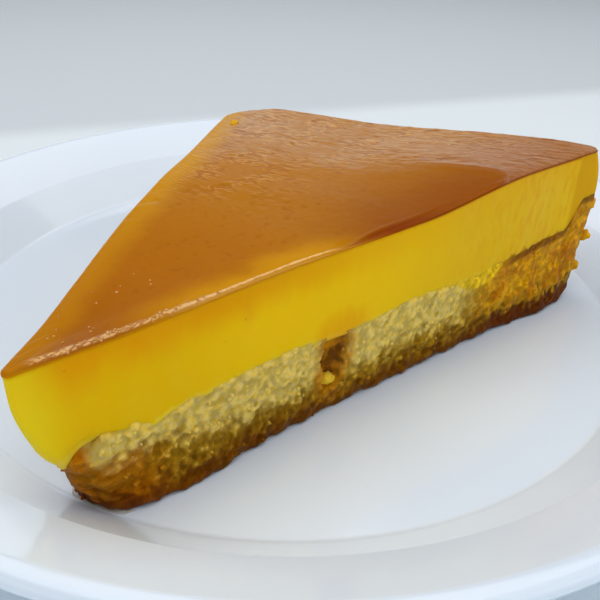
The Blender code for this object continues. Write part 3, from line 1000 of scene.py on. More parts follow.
# custard that soaked in from above
soaked_down = from_top + ragged * -2.6
soaked_down = soaked_down - ease(at.run, 74.0, 84.0, 0.0, 2.6)
soaked_down = soaked_down + ease(at.run, 86.0, 94.0, 0.0, 5.0)
yolky = ease(soaked_down, -2.0, -0.9, 0.9, 0.0) * ease(at.run, 68.0, 80.0, 0.3, 1.0)
# a brown line under the custard at the rim
seam_line = from_top - fine * 0.9
browned = ease(seam_line, 1.0, 0.1) * ease(at.run, 86.0, 94.0, 0.0, 0.8)
pocket_wall = mixed(ease(ragged, 0.45, 0.6), POCKET_BROWN, POCKET_AMBER)
colour = painted(
    wet,
    (dry, pale),
    (yolky, CRUMB_CUSTARD),
    (browned, CRUMB_BROWN),
    (note_read(tree, "stain"), POCKET_AMBER),
    (note_read(tree, "golden"), CRUMB_CUSTARD),
    (note_read(tree, "pocket"), pocket_wall),
)
speckle_and_painted_shade = ease(fine, 0.34, 0.66, 0.84, 1.14)
# darker in the hollows between granules and lighter on the proud ones: painted shade and light over
# a random speckle
speckle_and_painted_shade = speckle_and_painted_shade * ease(proud, 0.1, 0.8, 0.72, 1.12)
moist = ease(dry, 0.0, 1.0, 0.4, 0.8) + fine * 0.1
crust = fine + mottle(at.place, 0.3, 2.0) * 0.5
feed(
    shader,
    {
        "Base Color": vectors("SCALE", colour, speckle_and_painted_shade),
        "Roughness": moist,
        "Normal": bumped(crust, 0.45, 0.00022),
        "Coat Weight": note_read(tree, "pocket") * 0.12,
        "Coat Roughness": 0.12,
        "Subsurface Weight": 0.3,
        "Subsurface Radius": (1.0, 0.6, 0.25),
        "Subsurface Scale": 0.0010,
        "Specular IOR Level": 0.05,
        "Specular Tint": (1.0, 0.7, 0.3, 1.0),
    },
)
print("sponge material has", len(tree.nodes), "nodes")

# %% [markdown]
# ## The sponge: shape
#
# Cut sponge is torn, not sliced: granules of about a millimetre stand out, with hollows
# between them. First comes a fine smooth wall, with notes on where the crumb is torn and
# where a pocket of syrup ate a hole in the front cut. Then a tree moves every point
# along its normal: a Voronoi pattern makes the granules, two noises the clumps and the
# hollows. This is real relief in the mesh.

# %% The plain sponge
SPONGE_SPACING = 0.30 * MM
SPONGE_ROWS = 58
SPONGE_SETBACK = 2.4 * MM
FOOT_SETBACK = 7.5 * MM
POCKET_ALONG = 49.6 * MM
POCKET_HEIGHT = 9.6 * MM
POCKET_HALF_WIDTH = 2.6 * MM
POCKET_HALF_HEIGHT = 5.4 * MM
POCKET_DEPTH = 2.4 * MM
POCKET_LEAN = 0.10
NO_POCKET = -9.0
FOOT_ROUND, FOOT_ROUND_SHARE = 0.35 * MM, 0.08
SLOW_WAVE, SLOW_LENGTH = 0.2 * MM, 7.0 * MM
RAGGED_WAVE, RAGGED_LENGTH = 0.6 * MM, 3.0 * MM
RIM_TORN = 0.55
HIDDEN_TOP = ((0.3, 0.08), (0.6, 0.3), (0.9, 0.7))


def along_front(plan):
    """Distance of plan points along the front cut from its start."""
    return plan[:, 0] * half_cosine - plan[:, 1] * half_sine


def pocket_field(plan, height, side):
    """1 in the middle of the syrup pocket in the front cut, 0 at its edge, less outside."""
    above = height - POCKET_HEIGHT
    across = (along_front(plan) - POCKET_ALONG - POCKET_LEAN * above) / POCKET_HALF_WIDTH
    up = above / POCKET_HALF_HEIGHT
    return np.where(side == 0, 1.0 - across**2 - up**2, NO_POCKET)


def level_foot(plan):
    """The sponge stands flat."""
    return np.zeros(len(plan))


side, share = stations(SPONGE_SPACING)
top_level = sponge_level(side, share)
walls = []
notes = {"torn": [], "pocket": [], "stain": []}
for part in np.linspace(0.0, 1.0, SPONGE_ROWS):
    level = part * top_level
    setback = FOOT_SETBACK + (SPONGE_SETBACK - FOOT_SETBACK) * part
    foot_round = FOOT_ROUND * max(0.0, 1.0 - part / FOOT_ROUND_SHARE) ** 2
    plain = wall_ring(side, share, level, setback=setback)
    field = pocket_field(plain[:, :2], plain[:, 2], side) + 0.45 * ripples(plain, 2.4 * MM, 2)
    in_pocket = np.clip(field, 0.0, 1.0)
    bay = POCKET_DEPTH * np.sqrt(in_pocket)
    waves = SLOW_WAVE * ripples(plain, SLOW_LENGTH)
    waves += RAGGED_WAVE * (1.0 - part) * ripples(plain, RAGGED_LENGTH, 2)
    walls.append(wall_ring(side, share, level, inset=foot_round + bay + waves, setback=setback))
    on_rim = (side >= 1) & (side <= 3)
    roughness = np.where(on_rim, RIM_TORN, 1.0) * (1.0 - 0.8 * smoothstep(0.0, 0.3, in_pocket))
    sticky = rising(80, 92, np.linalg.norm(plain[:, :2], axis=1))
    roughness *= np.where(on_rim, 1.0, 1.0 - 0.4 * sticky)
    soaked_foot = 0.35 + 0.65 * smoothstep(0.0, 0.35, part)
    notes["torn"].append(roughness * soaked_foot)
    notes["pocket"].append(smoothstep(0.0, 0.35, in_pocket))
    spread_field = field + 1.2 * ripples(plain, 1.6 * MM)
    notes["stain"].append(0.8 * smoothstep(-2.4, 0.1, spread_field))
for lift, inset in HIDDEN_TOP:
    inset = inset * MM + bay + waves
    ring = wall_ring(side, share, top_level, lift * MM, inset, SPONGE_SETBACK)
    walls.append(ring)
    for rows in notes.values():
        rows.append(rows[-1])
under = inner_rings(walls[0], INNER_SCALES, level_foot)[::-1]
over = inner_rings(walls[-1], INNER_SCALES, sponge_height)
sponge_crumb = closed_shell("sponge_crumb", under + walls + over, soaked_sponge)
hidden = np.zeros(len(side) * len(INNER_SCALES))
for name, rows in notes.items():
    note_on(sponge_crumb, name, np.concatenate([hidden, *rows, hidden, [0.0, 0.0]]))
points = np.array([v.co for v in sponge_crumb.data.vertices])
line_height = sponge_height(points[:, :2] - APEX) + FOOT_HEIGHT
note_on(sponge_crumb, "from_top", (line_height - points[:, 2]) / MM)


# %% Tearing the crumb
BEND = 1.2 * MM


def noise_at(position, size, detail, shift):
    """Noise from 0 to 1 in a shape tree, its blotches size metres across."""
    return noises(vectors("ADD", position, (shift, shift, shift)), 1.0 / size, detail)


def stored(tree, name):
    """In a shape tree, the number that note_on stored."""
    kind = "GeometryNodeInputNamedAttribute"
    return flow(tree, kind, {"Name": name}, "Attribute", data_type="FLOAT")


def noted(shape, name, value):
    """The shape with one number stored on its points."""
    inputs = {"Geometry": shape, "Name": name, "Value": value}
    kind = "GeometryNodeStoreNamedAttribute"
    return flow(shape.tree, kind, inputs, data_type="FLOAT", domain="POINT")


def shoved(shape, offset):
    """The shape with its points moved."""
    return flow(shape.tree, "GeometryNodeSetPosition", {"Geometry": shape, "Offset": offset})


crumb_sizes = {
    "Granule Size": 1.25 * MM,
    "Granule Relief": 0.45 * MM,
    "Crag Size": 1.3 * MM,
    "Clump Size": 3.4 * MM,
    "Clump Relief": 1.0 * MM,
    "Hollow Size": 1.9 * MM,
    "Hollow Depth": 0.25 * MM,
}
tree, given = shape_tree("torn_crumb", crumb_sizes)
position = flow(tree, "GeometryNodeInputPosition")
normal = flow(tree, "GeometryNodeInputNormal")
bent = noise_at(position, given["Granule Size"], 1.0, 0.53)
bent_place = vectors("ADD", position, vectors("SCALE", normal, bent * BEND))
granules = {"Vector": bent_place, "Scale": 1.0 / given["Granule Size"]}
cells = flows(put(tree, "ShaderNodeTexVoronoi", granules))
rounded = 1.0 - cells["Distance"] * 1.1
own_size = flow(tree, "FunctionNodeSeparateColor", {0: cells["Color"]})
granule = rounded * ease(own_size, 0.0, 1.0, 0.45, 1.0)
crag = ease(noise_at(position, given["Crag Size"], 3.0, 0.19), 0.32, 0.68)
granule = granule * 0.55 + crag * 0.5
clump = noise_at(position, given["Clump Size"], 2.0, 0.31) - 0.5
hollow = ease(noise_at(position, given["Hollow Size"], 1.5, 0.77), 0.56, 0.72)
relief = (granule - 0.3) * given["Granule Relief"]
relief = relief + clump * given["Clump Relief"]
relief = relief - hollow * given["Hollow Depth"]
relief = relief * stored(tree, "torn")
told = noted(given["Mesh"], "proud", granule - hollow * 0.6)
finish_tree(tree, shoved(told, vectors("SCALE", normal, relief)), given["Finish"])
run_tree(sponge_crumb, tree, {**crumb_sizes, "Finish": soaked_sponge})

# %% [markdown]
# ## Clinging crumbs
#
# The knife drags loose granules over the cut, and they stay where they land. They are
# scattered on the torn wall, more where it is rougher, each a soft cube of 24 faces at
# its own size and turn. Once they are real mesh, a noise pushes every point a little, so
# that no two are alike. A few larger crumbs of known place are added after.

# %% Scattered crumbs
FULL_TURN = 6.28
CRUMB_PROUD = 0.75
PUSH_SIZE = 0.5 * MM


def sown(given, number, note):
    """Random points on the shape, closer together where the note is larger."""
    density = given[number] * stored(given["Mesh"].tree, note)
    inputs = {"Mesh": given["Mesh"], "Density": density, "Seed": given["Seed"]}
    kind = "GeometryNodeDistributePointsOnFaces"
    return flows(put(given["Mesh"].tree, kind, inputs, distribute_method="RANDOM"))


def own_size(given):
    """For each point, a random number between the tree's two sizes."""
    inputs = {2: given["Smallest"], 3: given["Largest"], "Seed": given["Seed"]}
    return flow(given["Mesh"].tree, "FunctionNodeRandomValue", inputs, 1, data_type="FLOAT")


def own_vector(given, low, high):
    """For each point, three random numbers."""
    inputs = {0: (low, low, low), 1: (high, high, high), "Seed": given["Seed"]}
    kind = "FunctionNodeRandomValue"
    return flow(given["Mesh"].tree, kind, inputs, data_type="FLOAT_VECTOR")


def strewn(points, shape, turn, size):
    """One copy of the shape on every point."""
    inputs = {"Points": points, "Instance": shape, "Rotation": turn, "Scale": size}
    return flow(shape.tree, "GeometryNodeInstanceOnPoints", inputs)


def scattered_piece(name, ground, numbers, seed, finish, tree):
    """A new piece that a scatter tree makes on a copy of the ground piece."""
    piece = new_piece(name, ground.data.copy())
    run_tree(piece, tree, {**numbers, "Seed": seed, "Finish": finish})
    return piece


crumb_scatter = {
    "Crumbs Per Square Metre": 80000.0,
    "Smallest": 0.4 * MM,
    "Largest": 1.15 * MM,
    "Unevenness": 0.7 * MM,
}
tree, given = shape_tree("clinging_crumbs", crumb_scatter, ["Seed"])
spots = sown(given, "Crumbs Per Square Metre", "torn")
block = flow(tree, "GeometryNodeMeshCube", {"Size": (1.0, 1.0, 1.0)})
lump = flow(tree, "GeometryNodeSubdivisionSurface", {"Mesh": block, "Level": 1})
build = vectors("SCALE", own_vector(given, 0.6, 1.3), own_size(given))
strewn_lumps = strewn(spots["Points"], lump, own_vector(given, 0.0, FULL_TURN), build)
real = flow(tree, "GeometryNodeRealizeInstances", {0: strewn_lumps})
push = noises(flow(tree, "GeometryNodeInputPosition"), 1.0 / PUSH_SIZE, 1.0, "Color")
uneven = vectors("SCALE", vectors("SUBTRACT", push, (0.5, 0.5, 0.5)), given["Unevenness"])
finish_tree(tree, noted(shoved(real, uneven), "proud", CRUMB_PROUD), given["Finish"])
clinging_crumbs = scattered_piece(
    "clinging_crumbs", sponge_crumb, crumb_scatter, 11, soaked_sponge, tree
)

# %% [markdown]
# ## Crumbs with a known place
#
# Some crumbs are big enough to be noticed: a golden one caught in the syrup pocket, a few
# lumps that stand out from the rim, where the sponge stuck to the pan, and a speck at the
# back corner. Each is a sphere of a few hundred faces, squashed and pushed about by
# noise. They join one mesh, because they are all the same crumb.

# %% Placed crumbs
LUMP_SEGMENTS = 20
LUMP_RINGS = 12
LUMP_UNEVEN = 0.42


def lump_mesh(middle, radii, seed):
    """Points and faces of an uneven, closed lump."""
    points = [(0.0, 0.0, 1.0)]
    for row in range(1, LUMP_RINGS):
        polar_angle = math.pi * row / LUMP_RINGS
        for step in range(LUMP_SEGMENTS):
            turned = math.tau * step / LUMP_SEGMENTS
            flat = math.sin(polar_angle)
            points.append((flat * math.cos(turned), flat * math.sin(turned), math.cos(polar_angle)))
    points.append((0.0, 0.0, -1.0))
    directions = np.array(points)
    size = 1.0 + LUMP_UNEVEN * ripples(directions + seed, 0.8, 3)
    placed = np.array(middle) + directions * size[:, None] * np.array(radii)
    faces = []
    last = len(points) - 1
    for step in range(LUMP_SEGMENTS):
        beside = (step + 1) % LUMP_SEGMENTS
        faces.append((0, 1 + step, 1 + beside))
        for row in range(LUMP_RINGS - 2):
            high, low = 1 + row * LUMP_SEGMENTS, 1 + (row + 1) * LUMP_SEGMENTS
            faces.append((high + step, low + step, low + beside, high + beside))
        lowest = 1 + (LUMP_RINGS - 2) * LUMP_SEGMENTS
        faces.append((last, lowest + beside, lowest + step))
    return placed, faces


def on_front_cut(along, height, depth=0.0):
    """The place of a point of the front cut, depth inside it."""
    x = along * half_cosine + depth * half_sine
    y = -along * half_sine + depth * half_cosine
    return (x, y, height)


def on_rim(run, sideways, height):
    """The place of a point at a run from the tip and an angle in degrees from the middle."""
    turned = math.radians(sideways)
    return (run * math.cos(turned), run * math.sin(turned), height)


BACK_SPECK = on_rim(95.5 * MM, 19.5, 0.0)
back_speck_height = float(top_height(np.array([BACK_SPECK[:2]]))[0])
PLACED_CRUMBS = {
    "caught in the pocket": (on_front_cut(49.2 * MM, 5.4 * MM, 1.3 * MM), (1.7, 1.2, 0.9)),
    "beside it": (on_front_cut(51.0 * MM, 4.4 * MM, 1.2 * MM), (1.0, 0.9, 0.7)),
    "high on the rim": (on_rim(116.6 * MM, -20.7, 19.6 * MM), (1.0, 1.2, 1.5)),
    "middle of the rim": (on_rim(116.9 * MM, -20.8, 12.3 * MM), (1.4, 1.3, 1.1)),
    "low on the rim": (on_rim(115.4 * MM, -20.7, 5.6 * MM), (1.3, 1.2, 1.2)),
    "speck at the back corner": ((*BACK_SPECK[:2], back_speck_height), (1.2, 0.8, 0.6)),
}
lump_points, lump_faces, lump_golden = [], [], []
for number, (label, (middle, radii)) in enumerate(PLACED_CRUMBS.items()):
    placed, faces = lump_mesh(middle, [r * MM for r in radii], number * 3.7)
    lump_faces += [tuple(len(lump_points) + index for index in face) for face in faces]
    lump_points += placed.tolist()
    lump_golden += [0.7 if "pocket" in label or "beside" in label else 0.15] * len(placed)
    print(label, [round(c / MM, 1) for c in middle])
lump_points = (np.array(lump_points) + (*APEX, FOOT_HEIGHT)).tolist()
placed_crumbs = smooth_piece("placed_crumbs", lump_points, lump_faces, soaked_sponge)
note_on(placed_crumbs, "golden", lump_golden)
note_on(placed_crumbs, "proud", [0.7] * len(lump_points))
note_on(placed_crumbs, "from_top", [8.0] * len(lump_points))

# %% [markdown]
# ## The caramel: colour
#
# Caramel is burnt sugar dissolved in the custard's own water: clear, brown and wet. Over
# yellow custard a thin layer looks orange and a thick one brown. Here it is orange brown
# towards the tip, browner and hazy over the wrinkled border, with a pale reflection painted
# into the colour near the far back corner, golden along the back cut where it is worn thin,
# and dark in the strip that sagged over the front edge. A coat gives the wet shine over a
# rougher body.

# %% Caramel glaze
CARAMEL_DEEP = (0.420, 0.127, 0.001, 1.0)
CARAMEL_MIDDLE = (0.450, 0.160, 0.0015, 1.0)
CARAMEL_TAN = (0.49, 0.232, 0.072, 1.0)
CARAMEL_GOLD = (0.60, 0.265, 0.002, 1.0)
CARAMEL_DARK = (0.230, 0.038, 0.001, 1.0)
CARAMEL_WALL = (0.58, 0.215, 0.001, 1.0)
CARAMEL_PAINTED_HIGHLIGHT = (0.84, 0.48, 0.17, 1.0)
CARAMEL_DUSK = (0.26, 0.066, 0.010, 1.0)
CARAMEL_SPOT = (0.30, 0.082, 0.002, 1.0)
CARAMEL_PAINTED_REFLECTION = (0.80, 0.60, 0.45, 1.0)
FOLD_STRETCH = (1.25, 0.40, 1.0)

caramel, tree, shader, at = food_material("caramel_glaze")
blotches = mottle(at.place, 7.0, 3.0, shift=5.0)
spots = mottle(at.place, 1.4, 3.0, shift=9.0)
border = note_read(tree, "border")
loose = (blotches - 0.5) * 14.0
farther = at.run + loose
rusty = ease(mottle(at.place, 3.0, 3.0, shift=23.0), 0.4, 0.66, 0.0, 0.6)
tan = mixed(rusty, CARAMEL_TAN, CARAMEL_MIDDLE)
# a painted pale reflection near the far back corner
painted_back_reflection = ease(at.back_inset, 17.0, 6.0, 0.0, 0.15) * ease(at.run, 84.0, 92.0)
# creases of the wrinkled border, dented and painted darker as shade, with a ridge beside each
# painted pale as a highlight
fold_noise = mottle(at.place, 2.6, 2.5, FOLD_STRETCH, 17.0)
fold_away = abs(fold_noise - 0.5)
patchy = ease(mottle(at.place, 6.0, 2.0, shift=43.0), 0.36, 0.58)
toward_back = ease(at.back_inset, 34.0, 8.0, 0.0, 0.8) * ease(at.run, 44.0, 66.0)
wrinkled = sums("MAXIMUM", border, toward_back) * patchy
crease_dents_and_painted_shade = ease(fold_away, 0.055, 0.01) * wrinkled
crease_ridges_and_painted_highlight = ease(abs(fold_away - 0.085), 0.045, 0.0) * wrinkled
# shade over the middle of the front, and gold along the worn back cut
dusk = ease(at.along, 42.0, 70.0, 0.0, 0.5) * ease(at.inset, 32.0, 5.0)
back_in = at.back_inset + loose * 0.25
gold = ease(back_in, 5.2, 0.4) * ease(at.run, 20.0, 74.0, 0.45, 1.0)
# dark where it sagged over the front edge, golden where it is thin
front_in = at.inset + loose * 0.5
sagged = ease(front_in, 15.0, 1.0, 0.0, 0.5) * ease(at.along, 44.0, 62.0)
sagged = sagged * ease(at.along, 84.0, 94.0, 1.0, 0.2)
shoulder = ease(front_in, 6.5, 0.5, 0.0, 0.95) * ease(at.along, 12.0, 30.0)
shoulder = shoulder * ease(at.along, 45.0, 57.0, 1.0, 0.0)
# the cut side of the sheet
down = note_read(tree, "below_top")
from_down = ease(at.run, 38.0, 66.0, 0.35, 0.12)
to_down = ease(at.run, 38.0, 66.0, 0.75, 0.36)
depth_share = (down - from_down) / (to_down - from_down)
walled = ease(depth_share, 0.0, 1.0)
wall_colour = mixed(ease(at.along, 48.0, 62.0), CARAMEL_WALL, CARAMEL_DARK)
# beads on the edge near the tip, painted pale as highlights
beads = mottle(at.place, 0.45, 2.0, (0.6, 1.0, 1.0), 37.0)
inset_now = at.inset * ease(at.along, 12.0, 34.0, 1.0, 1.9)
at_edge = ease(inset_now, 1.25, 0.7) * ease(at.along, 3.0, 6.0)
at_edge = at_edge * ease(at.along, 24.0, 42.0, 1.0, 0.0)
at_edge = at_edge * ease(down, 0.35, 0.1)
beaded = ease(beads, 0.44, 0.56, 0.1, 0.8) * at_edge
# a broken line of painted highlight along the edge
off_line = abs(at.inset - 0.42)
broken = ease(mottle(at.place, 1.1, 3.0, shift=47.0), 0.36, 0.58, 0.06, 0.26)
glint = ease(off_line / broken, 1.0, 0.3) * ease(at.along, 22.0, 28.0)
glint = glint * ease(at.along, 45.0, 52.0, 0.9, 0.0)
glint = glint * ease(down, 0.6, 0.3)
colour = painted(
    CARAMEL_DEEP,
    (ease(farther, 22.0, 60.0), CARAMEL_MIDDLE),
    (border, tan),
    (ease(at.run, 28.0, 8.0, 0.0, 0.5), CARAMEL_SPOT),
    (painted_back_reflection, CARAMEL_PAINTED_REFLECTION),
    (crease_dents_and_painted_shade * 0.55, CARAMEL_SPOT),
    (crease_ridges_and_painted_highlight * 0.35, CARAMEL_PAINTED_HIGHLIGHT),
    (dusk, CARAMEL_DUSK),
    (ease(spots, 0.55, 0.72, 0.0, 0.35), CARAMEL_SPOT),
    (gold, CARAMEL_GOLD),
    (sagged, CARAMEL_DARK),
    (note_read(tree, "strip"), CARAMEL_DARK),
    (shoulder, CARAMEL_GOLD),
    (walled, wall_colour),
    (beaded, CARAMEL_PAINTED_HIGHLIGHT),
    (glint, CARAMEL_PAINTED_HIGHLIGHT),
)
body = ease(border, 0.0, 1.0, 0.38, 0.55) + spots * 0.1
pebbles = mottle(at.place, 0.9, 2.0, shift=13.0)
relief = pebbles * 0.25 + (crease_ridges_and_painted_highlight - crease_dents_and_painted_shade) * 0.6
relief = relief + beads * at_edge * 2.2
burst = pits(at.place, 4.1, 0.4, 0.16)
relief = relief - burst * 0.8
bent = bumped(relief, 0.35, 0.0003)
wetness = ease(border, 0.0, 1.0, 0.08, 0.75)
wetness = wetness - border * ease(at.run, 96.0, 112.0, 0.0, 0.3)
wetness = wetness + at_edge * 0.6
edge_shine = ease(at.inset, 0.9, 0.4) * ease(at.along, 20.0, 26.0)
edge_shine = edge_shine * ease(at.along, 48.0, 60.0, 0.7, 0.0)
wetness = wetness + edge_shine
wetness = wetness * ease(walled, 0.0, 1.0, 1.0, 0.2)
feed(
    shader,
    {
        "Base Color": colour,
        "Roughness": body,
        "Normal": bent,
        "Coat Normal": bent,
        "Coat Weight": wetness,
        "Coat Roughness": ease(border, 0.0, 1.0, 0.1, 0.34),
        "Coat IOR": 1.45,
        "IOR": 1.38,
        "Specular IOR Level": 0.05,
        "Specular Tint": (1.0, 0.6, 0.2, 1.0),
        "Subsurface Weight": 0.25,
        "Subsurface Radius": (1.0, 0.35, 0.06),
        "Subsurface Scale": 0.0012,
    },
)
print("caramel material has", len(tree.nodes), "nodes")

# %% [markdown]
# ## The caramel: surface
#
# The top was the bottom of the pan, so it is smooth where the liquid caramel lay, and
# wrinkled where it had dried before the custard set. The smooth part ends in a lip that
# crosses the slice about 85 mm from the tip and rounds off at the front edge. The knife
# dragged a skin of caramel over the front edge: near the tip it broke into beads, farther
# on it folded into a ridge.

# %% Surface rules
LIP_X = 84.6 * MM
BACK_BORDER_X = 78.5 * MM
CORNER_BORDER_X = 71.0 * MM
LIP_CORNER = 5.2 * MM
LIP_WIDTH = 1.2 * MM
LIP_RISE = 0.40 * MM
WRINKLE = 0.13 * MM
FOLD_RUNS = (1.15, 0.42, 1.0)
PEBBLE = 0.03 * MM
RIDGE_INSET = 1.7 * MM
RIDGE_DROP = 0.26 * MM
RIDGE_ALONG = (46.0, 62.0)  # millimetres along the front cut
STRIP_ALONG = (46.0, 49.0, 60.0, 78.0)
FOLD_ALONG = (46.0, 52.0, 60.0, 74.0)
EDGE_PIT = on_rim(49.0 * MM, 20.0, 0.0)
EDGE_PIT_DEPTH = 0.18 * MM
EDGE_PIT_SIZE = 0.9 * MM


def inset_front(plan):
    """Distance of plan points in from the front cut."""
    return plan[:, 0] * half_sine + plan[:, 1] * half_cosine


def border_ahead(plan):
    """How far beyond the start of the wrinkled border a plan point lies."""
    x, y = plan[:, 0], plan[:, 1]
    starts = LIP_X + (BACK_BORDER_X - LIP_X) * rising(-10, 2, y)
    starts += (CORNER_BORDER_X - BACK_BORDER_X) * rising(17, 25, y)
    starts += rising(-16, -4, y) * 3.5 * MM * ripples(at_level(plan, 0.07), 11.0 * MM, 2)
    near_edge = np.clip(1.0 - inset_front(plan) / LIP_CORNER, 0.0, 1.0)
    starts -= 4.5 * MM * near_edge**2.2
    return x - starts


def border_share(plan):
    """1 on the wrinkled border, 0 on the smooth caramel."""
    crisp = 1.7 * MM + 12.0 * MM * rising(-21, -6, plan[:, 1])
    return smoothstep(-crisp, crisp, border_ahead(plan))


def ridge_line(along):
    """Inset of the fold's crest from the front cut."""
    return 0.1 * MM + RIDGE_INSET * rising(*RIDGE_ALONG, along)


def strip_share(plan):
    """1 on the strip of caramel that sagged over the front edge."""
    along, inset = along_front(plan), inset_front(plan)
    crest = ridge_line(along) + 0.2 * MM * ripples(at_level(plan, 0.03), 5.0 * MM)
    window = between(*STRIP_ALONG, along)
    return window * (1.0 - smoothstep(crest - 0.35 * MM, crest + 0.1 * MM, inset))


def caramel_relief(plan):
    """How far the caramel stands above the even top."""
    wrinkled = border_share(plan)
    lifted = at_level(plan, 0.02)
    patchy = 0.35 + 0.65 * smoothstep(-0.3, 0.3, ripples(lifted, 9.0 * MM))
    folds = 1.0 - 2.4 * np.abs(ripples(lifted * FOLD_RUNS, 2.3 * MM, 2))
    relief = WRINKLE * wrinkled * patchy * folds
    relief += PEBBLE * ripples(lifted, 1.9 * MM, 2) + 1.5 * PEBBLE * ripples(lifted, 7.0 * MM)
    fade = 1.0 - rising(-22, -10, plan[:, 1])
    relief += LIP_RISE * bump_at(border_ahead(plan), 0.0, LIP_WIDTH) * fade
    along, inset = along_front(plan), inset_front(plan)
    folded = between(*FOLD_ALONG, along)
    relief += 0.4 * RIDGE_DROP * folded * bump_at(inset, ridge_line(along), 0.4 * MM)
    relief -= RIDGE_DROP * strip_share(plan)
    pit_away = np.hypot(plan[:, 0] - EDGE_PIT[0], plan[:, 1] - EDGE_PIT[1])
    return relief - EDGE_PIT_DEPTH * bump_at(pit_away, 0.0, EDGE_PIT_SIZE)


# %% The caramel sheet
CARAMEL_SPACING = 0.56 * MM
EDGE_RADIUS = 0.7 * MM
EDGE_ROWS = 7
WALL_ROWS = 4
FACE_ROWS = 98
ROW_CROWDING = 1.25
BEAD = 0.16 * MM


def caramel_face(plan):
    """Height of the caramel's top."""
    return top_height(plan) + caramel_relief(plan)


def caramel_underside(plan):
    """Height at which the caramel lies on the custard."""
    return top_height(plan) - caramel_depth(plan)


side, share = stations(CARAMEL_SPACING)
top_plan = outline(side, share, 1.0)
depth = caramel_depth(top_plan)
radius = np.minimum(EDGE_RADIUS, 0.85 * depth)
relief = caramel_relief(top_plan)
beaded = BEAD * (1.0 - rising(34, 46, along_front(top_plan)) * 0.7)
beads = beaded * ripples(at_level(top_plan, 0.0), 1.3 * MM, 2)
walls = []
for part in np.linspace(0.0, 1.0, WALL_ROWS):
    drop = depth + (radius - depth) * part
    level = 1.0 - drop / top_height(top_plan)
    walls.append(wall_ring(side, share, level, inset=0.35 * beads))
for turned in np.linspace(0.0, math.pi / 2.0, EDGE_ROWS + 1)[1:]:
    inset = radius * (1.0 - math.cos(turned)) + beads * (0.35 + 0.65 * math.cos(turned))
    lift = radius * (math.sin(turned) - 1.0) + (relief + beads) * math.sin(turned)
    walls.append(wall_ring(side, share, 1.0, lift=lift, inset=inset))
scales = 1.0 - np.linspace(0.0, 1.0, FACE_ROWS + 1)[1:-1] ** ROW_CROWDING
edge_lift = walls[-1][:, 2] - caramel_face(walls[-1][:, :2])
face = []
for scale in scales:
    ring = inner_rings(walls[-1], [scale], caramel_face)[0]
    ring[:, 2] += edge_lift * (1.0 - smoothstep(0.0, 0.06, 1.0 - scale))
    face.append(ring)
under = inner_rings(walls[0], INNER_SCALES, caramel_underside)[::-1]
caramel_sheet = closed_shell("caramel_sheet", under + walls + face, caramel)
points = np.array([v.co for v in caramel_sheet.data.vertices])
plan = points[:, :2] - APEX
note_on(caramel_sheet, "border", border_share(plan))
note_on(caramel_sheet, "strip", strip_share(plan))
note_on(caramel_sheet, "below_top", (top_height(plan) + FOOT_HEIGHT - points[:, 2]) / MM)

# %% [markdown]
# ## Bubbles
#
# Boiling sugar leaves bubbles. A handful froze in the caramel near the tip, and a row of
# tiny ones sits on the front edge, where the knife pressed them together. They are
# scattered by a note on the sheet that says how likely a bubble is, and every one is a
# flattened ball of 48 faces, sunk to its middle.

# %% Froth
FROTH_PAINTED_HIGHLIGHT = (0.66, 0.34, 0.11, 1.0)
FROTH_AMBER = (0.52, 0.19, 0.01, 1.0)

froth, tree, shader, at = food_material("caramel_froth")
tint = mottle(at.place, 0.6, 2.0, shift=31.0)
feed(
    shader,
    {
        # pale froth in random patches: partly the paler foam, partly a painted highlight
        "Base Color": mixed(ease(tint, 0.4, 0.6), FROTH_PAINTED_HIGHLIGHT, FROTH_AMBER),
        "Roughness": ease(tint, 0.3, 0.7, 0.12, 0.22),
        "Coat Weight": 0.3,
        "Coat Roughness": 0.08,
        "Specular IOR Level": 0.2,
        "Subsurface Weight": 0.2,
        "Subsurface Radius": (1.0, 0.5, 0.2),
        "Subsurface Scale": 0.0006,
    },
)
print("froth material has", len(tree.nodes), "nodes")

# %% Caramel bubbles
BUBBLY = {
    "two near the tip": (on_rim(11.7 * MM, -3.0, 0.0), 2.4 * MM, 0.22),
    "beside the back cut": (on_rim(11.7 * MM, 12.0, 0.0), 2.2 * MM, 0.22),
    "the larger group": (on_rim(23.7 * MM, 7.0, 0.0), 3.4 * MM, 0.20),
    "a stray few": (on_rim(17.5 * MM, 10.0, 0.0), 2.6 * MM, 0.08),
}
likely = np.zeros(len(plan))
for middle, spread, chance in BUBBLY.values():
    away = np.hypot(plan[:, 0] - middle[0], plan[:, 1] - middle[1])
    likely += chance * bump_at(away, 0.0, spread)
along = along_front(plan)
row = bump_at(inset_front(plan), 0.6 * MM, 0.4 * MM) * rising(4, 7, along)
patches = smoothstep(-0.1, 0.35, ripples(at_level(plan, 0.05), 3.5 * MM))
likely += 3.2 * row * (0.25 + patches) * (1.0 - rising(20, 31, along))
upper = points[:, 2] > top_height(plan) + FOOT_HEIGHT - 0.4 * MM
note_on(caramel_sheet, "bubbly", likely * upper)

bubble_scatter = {
    "Bubbles Per Square Metre": 900000.0,
    "Smallest": 0.11 * MM,
    "Largest": 0.26 * MM,
    "Flatness": 0.6,
}
tree, given = shape_tree("caramel_bubbles", bubble_scatter, ["Seed"])
spots = sown(given, "Bubbles Per Square Metre", "bubbly")
ball = flow(tree, "GeometryNodeMeshUVSphere", {"Segments": 8, "Rings": 6, "Radius": 1.0})
wide = own_size(given)
squashed = flow(tree, "ShaderNodeCombineXYZ", {0: wide, 1: wide, 2: wide * given["Flatness"]})
finish_tree(tree, strewn(spots["Points"], ball, spots["Rotation"], squashed), given["Finish"])
caramel_bubbles = scattered_piece(
    "caramel_bubbles", caramel_sheet, bubble_scatter, 5, froth, tree
)

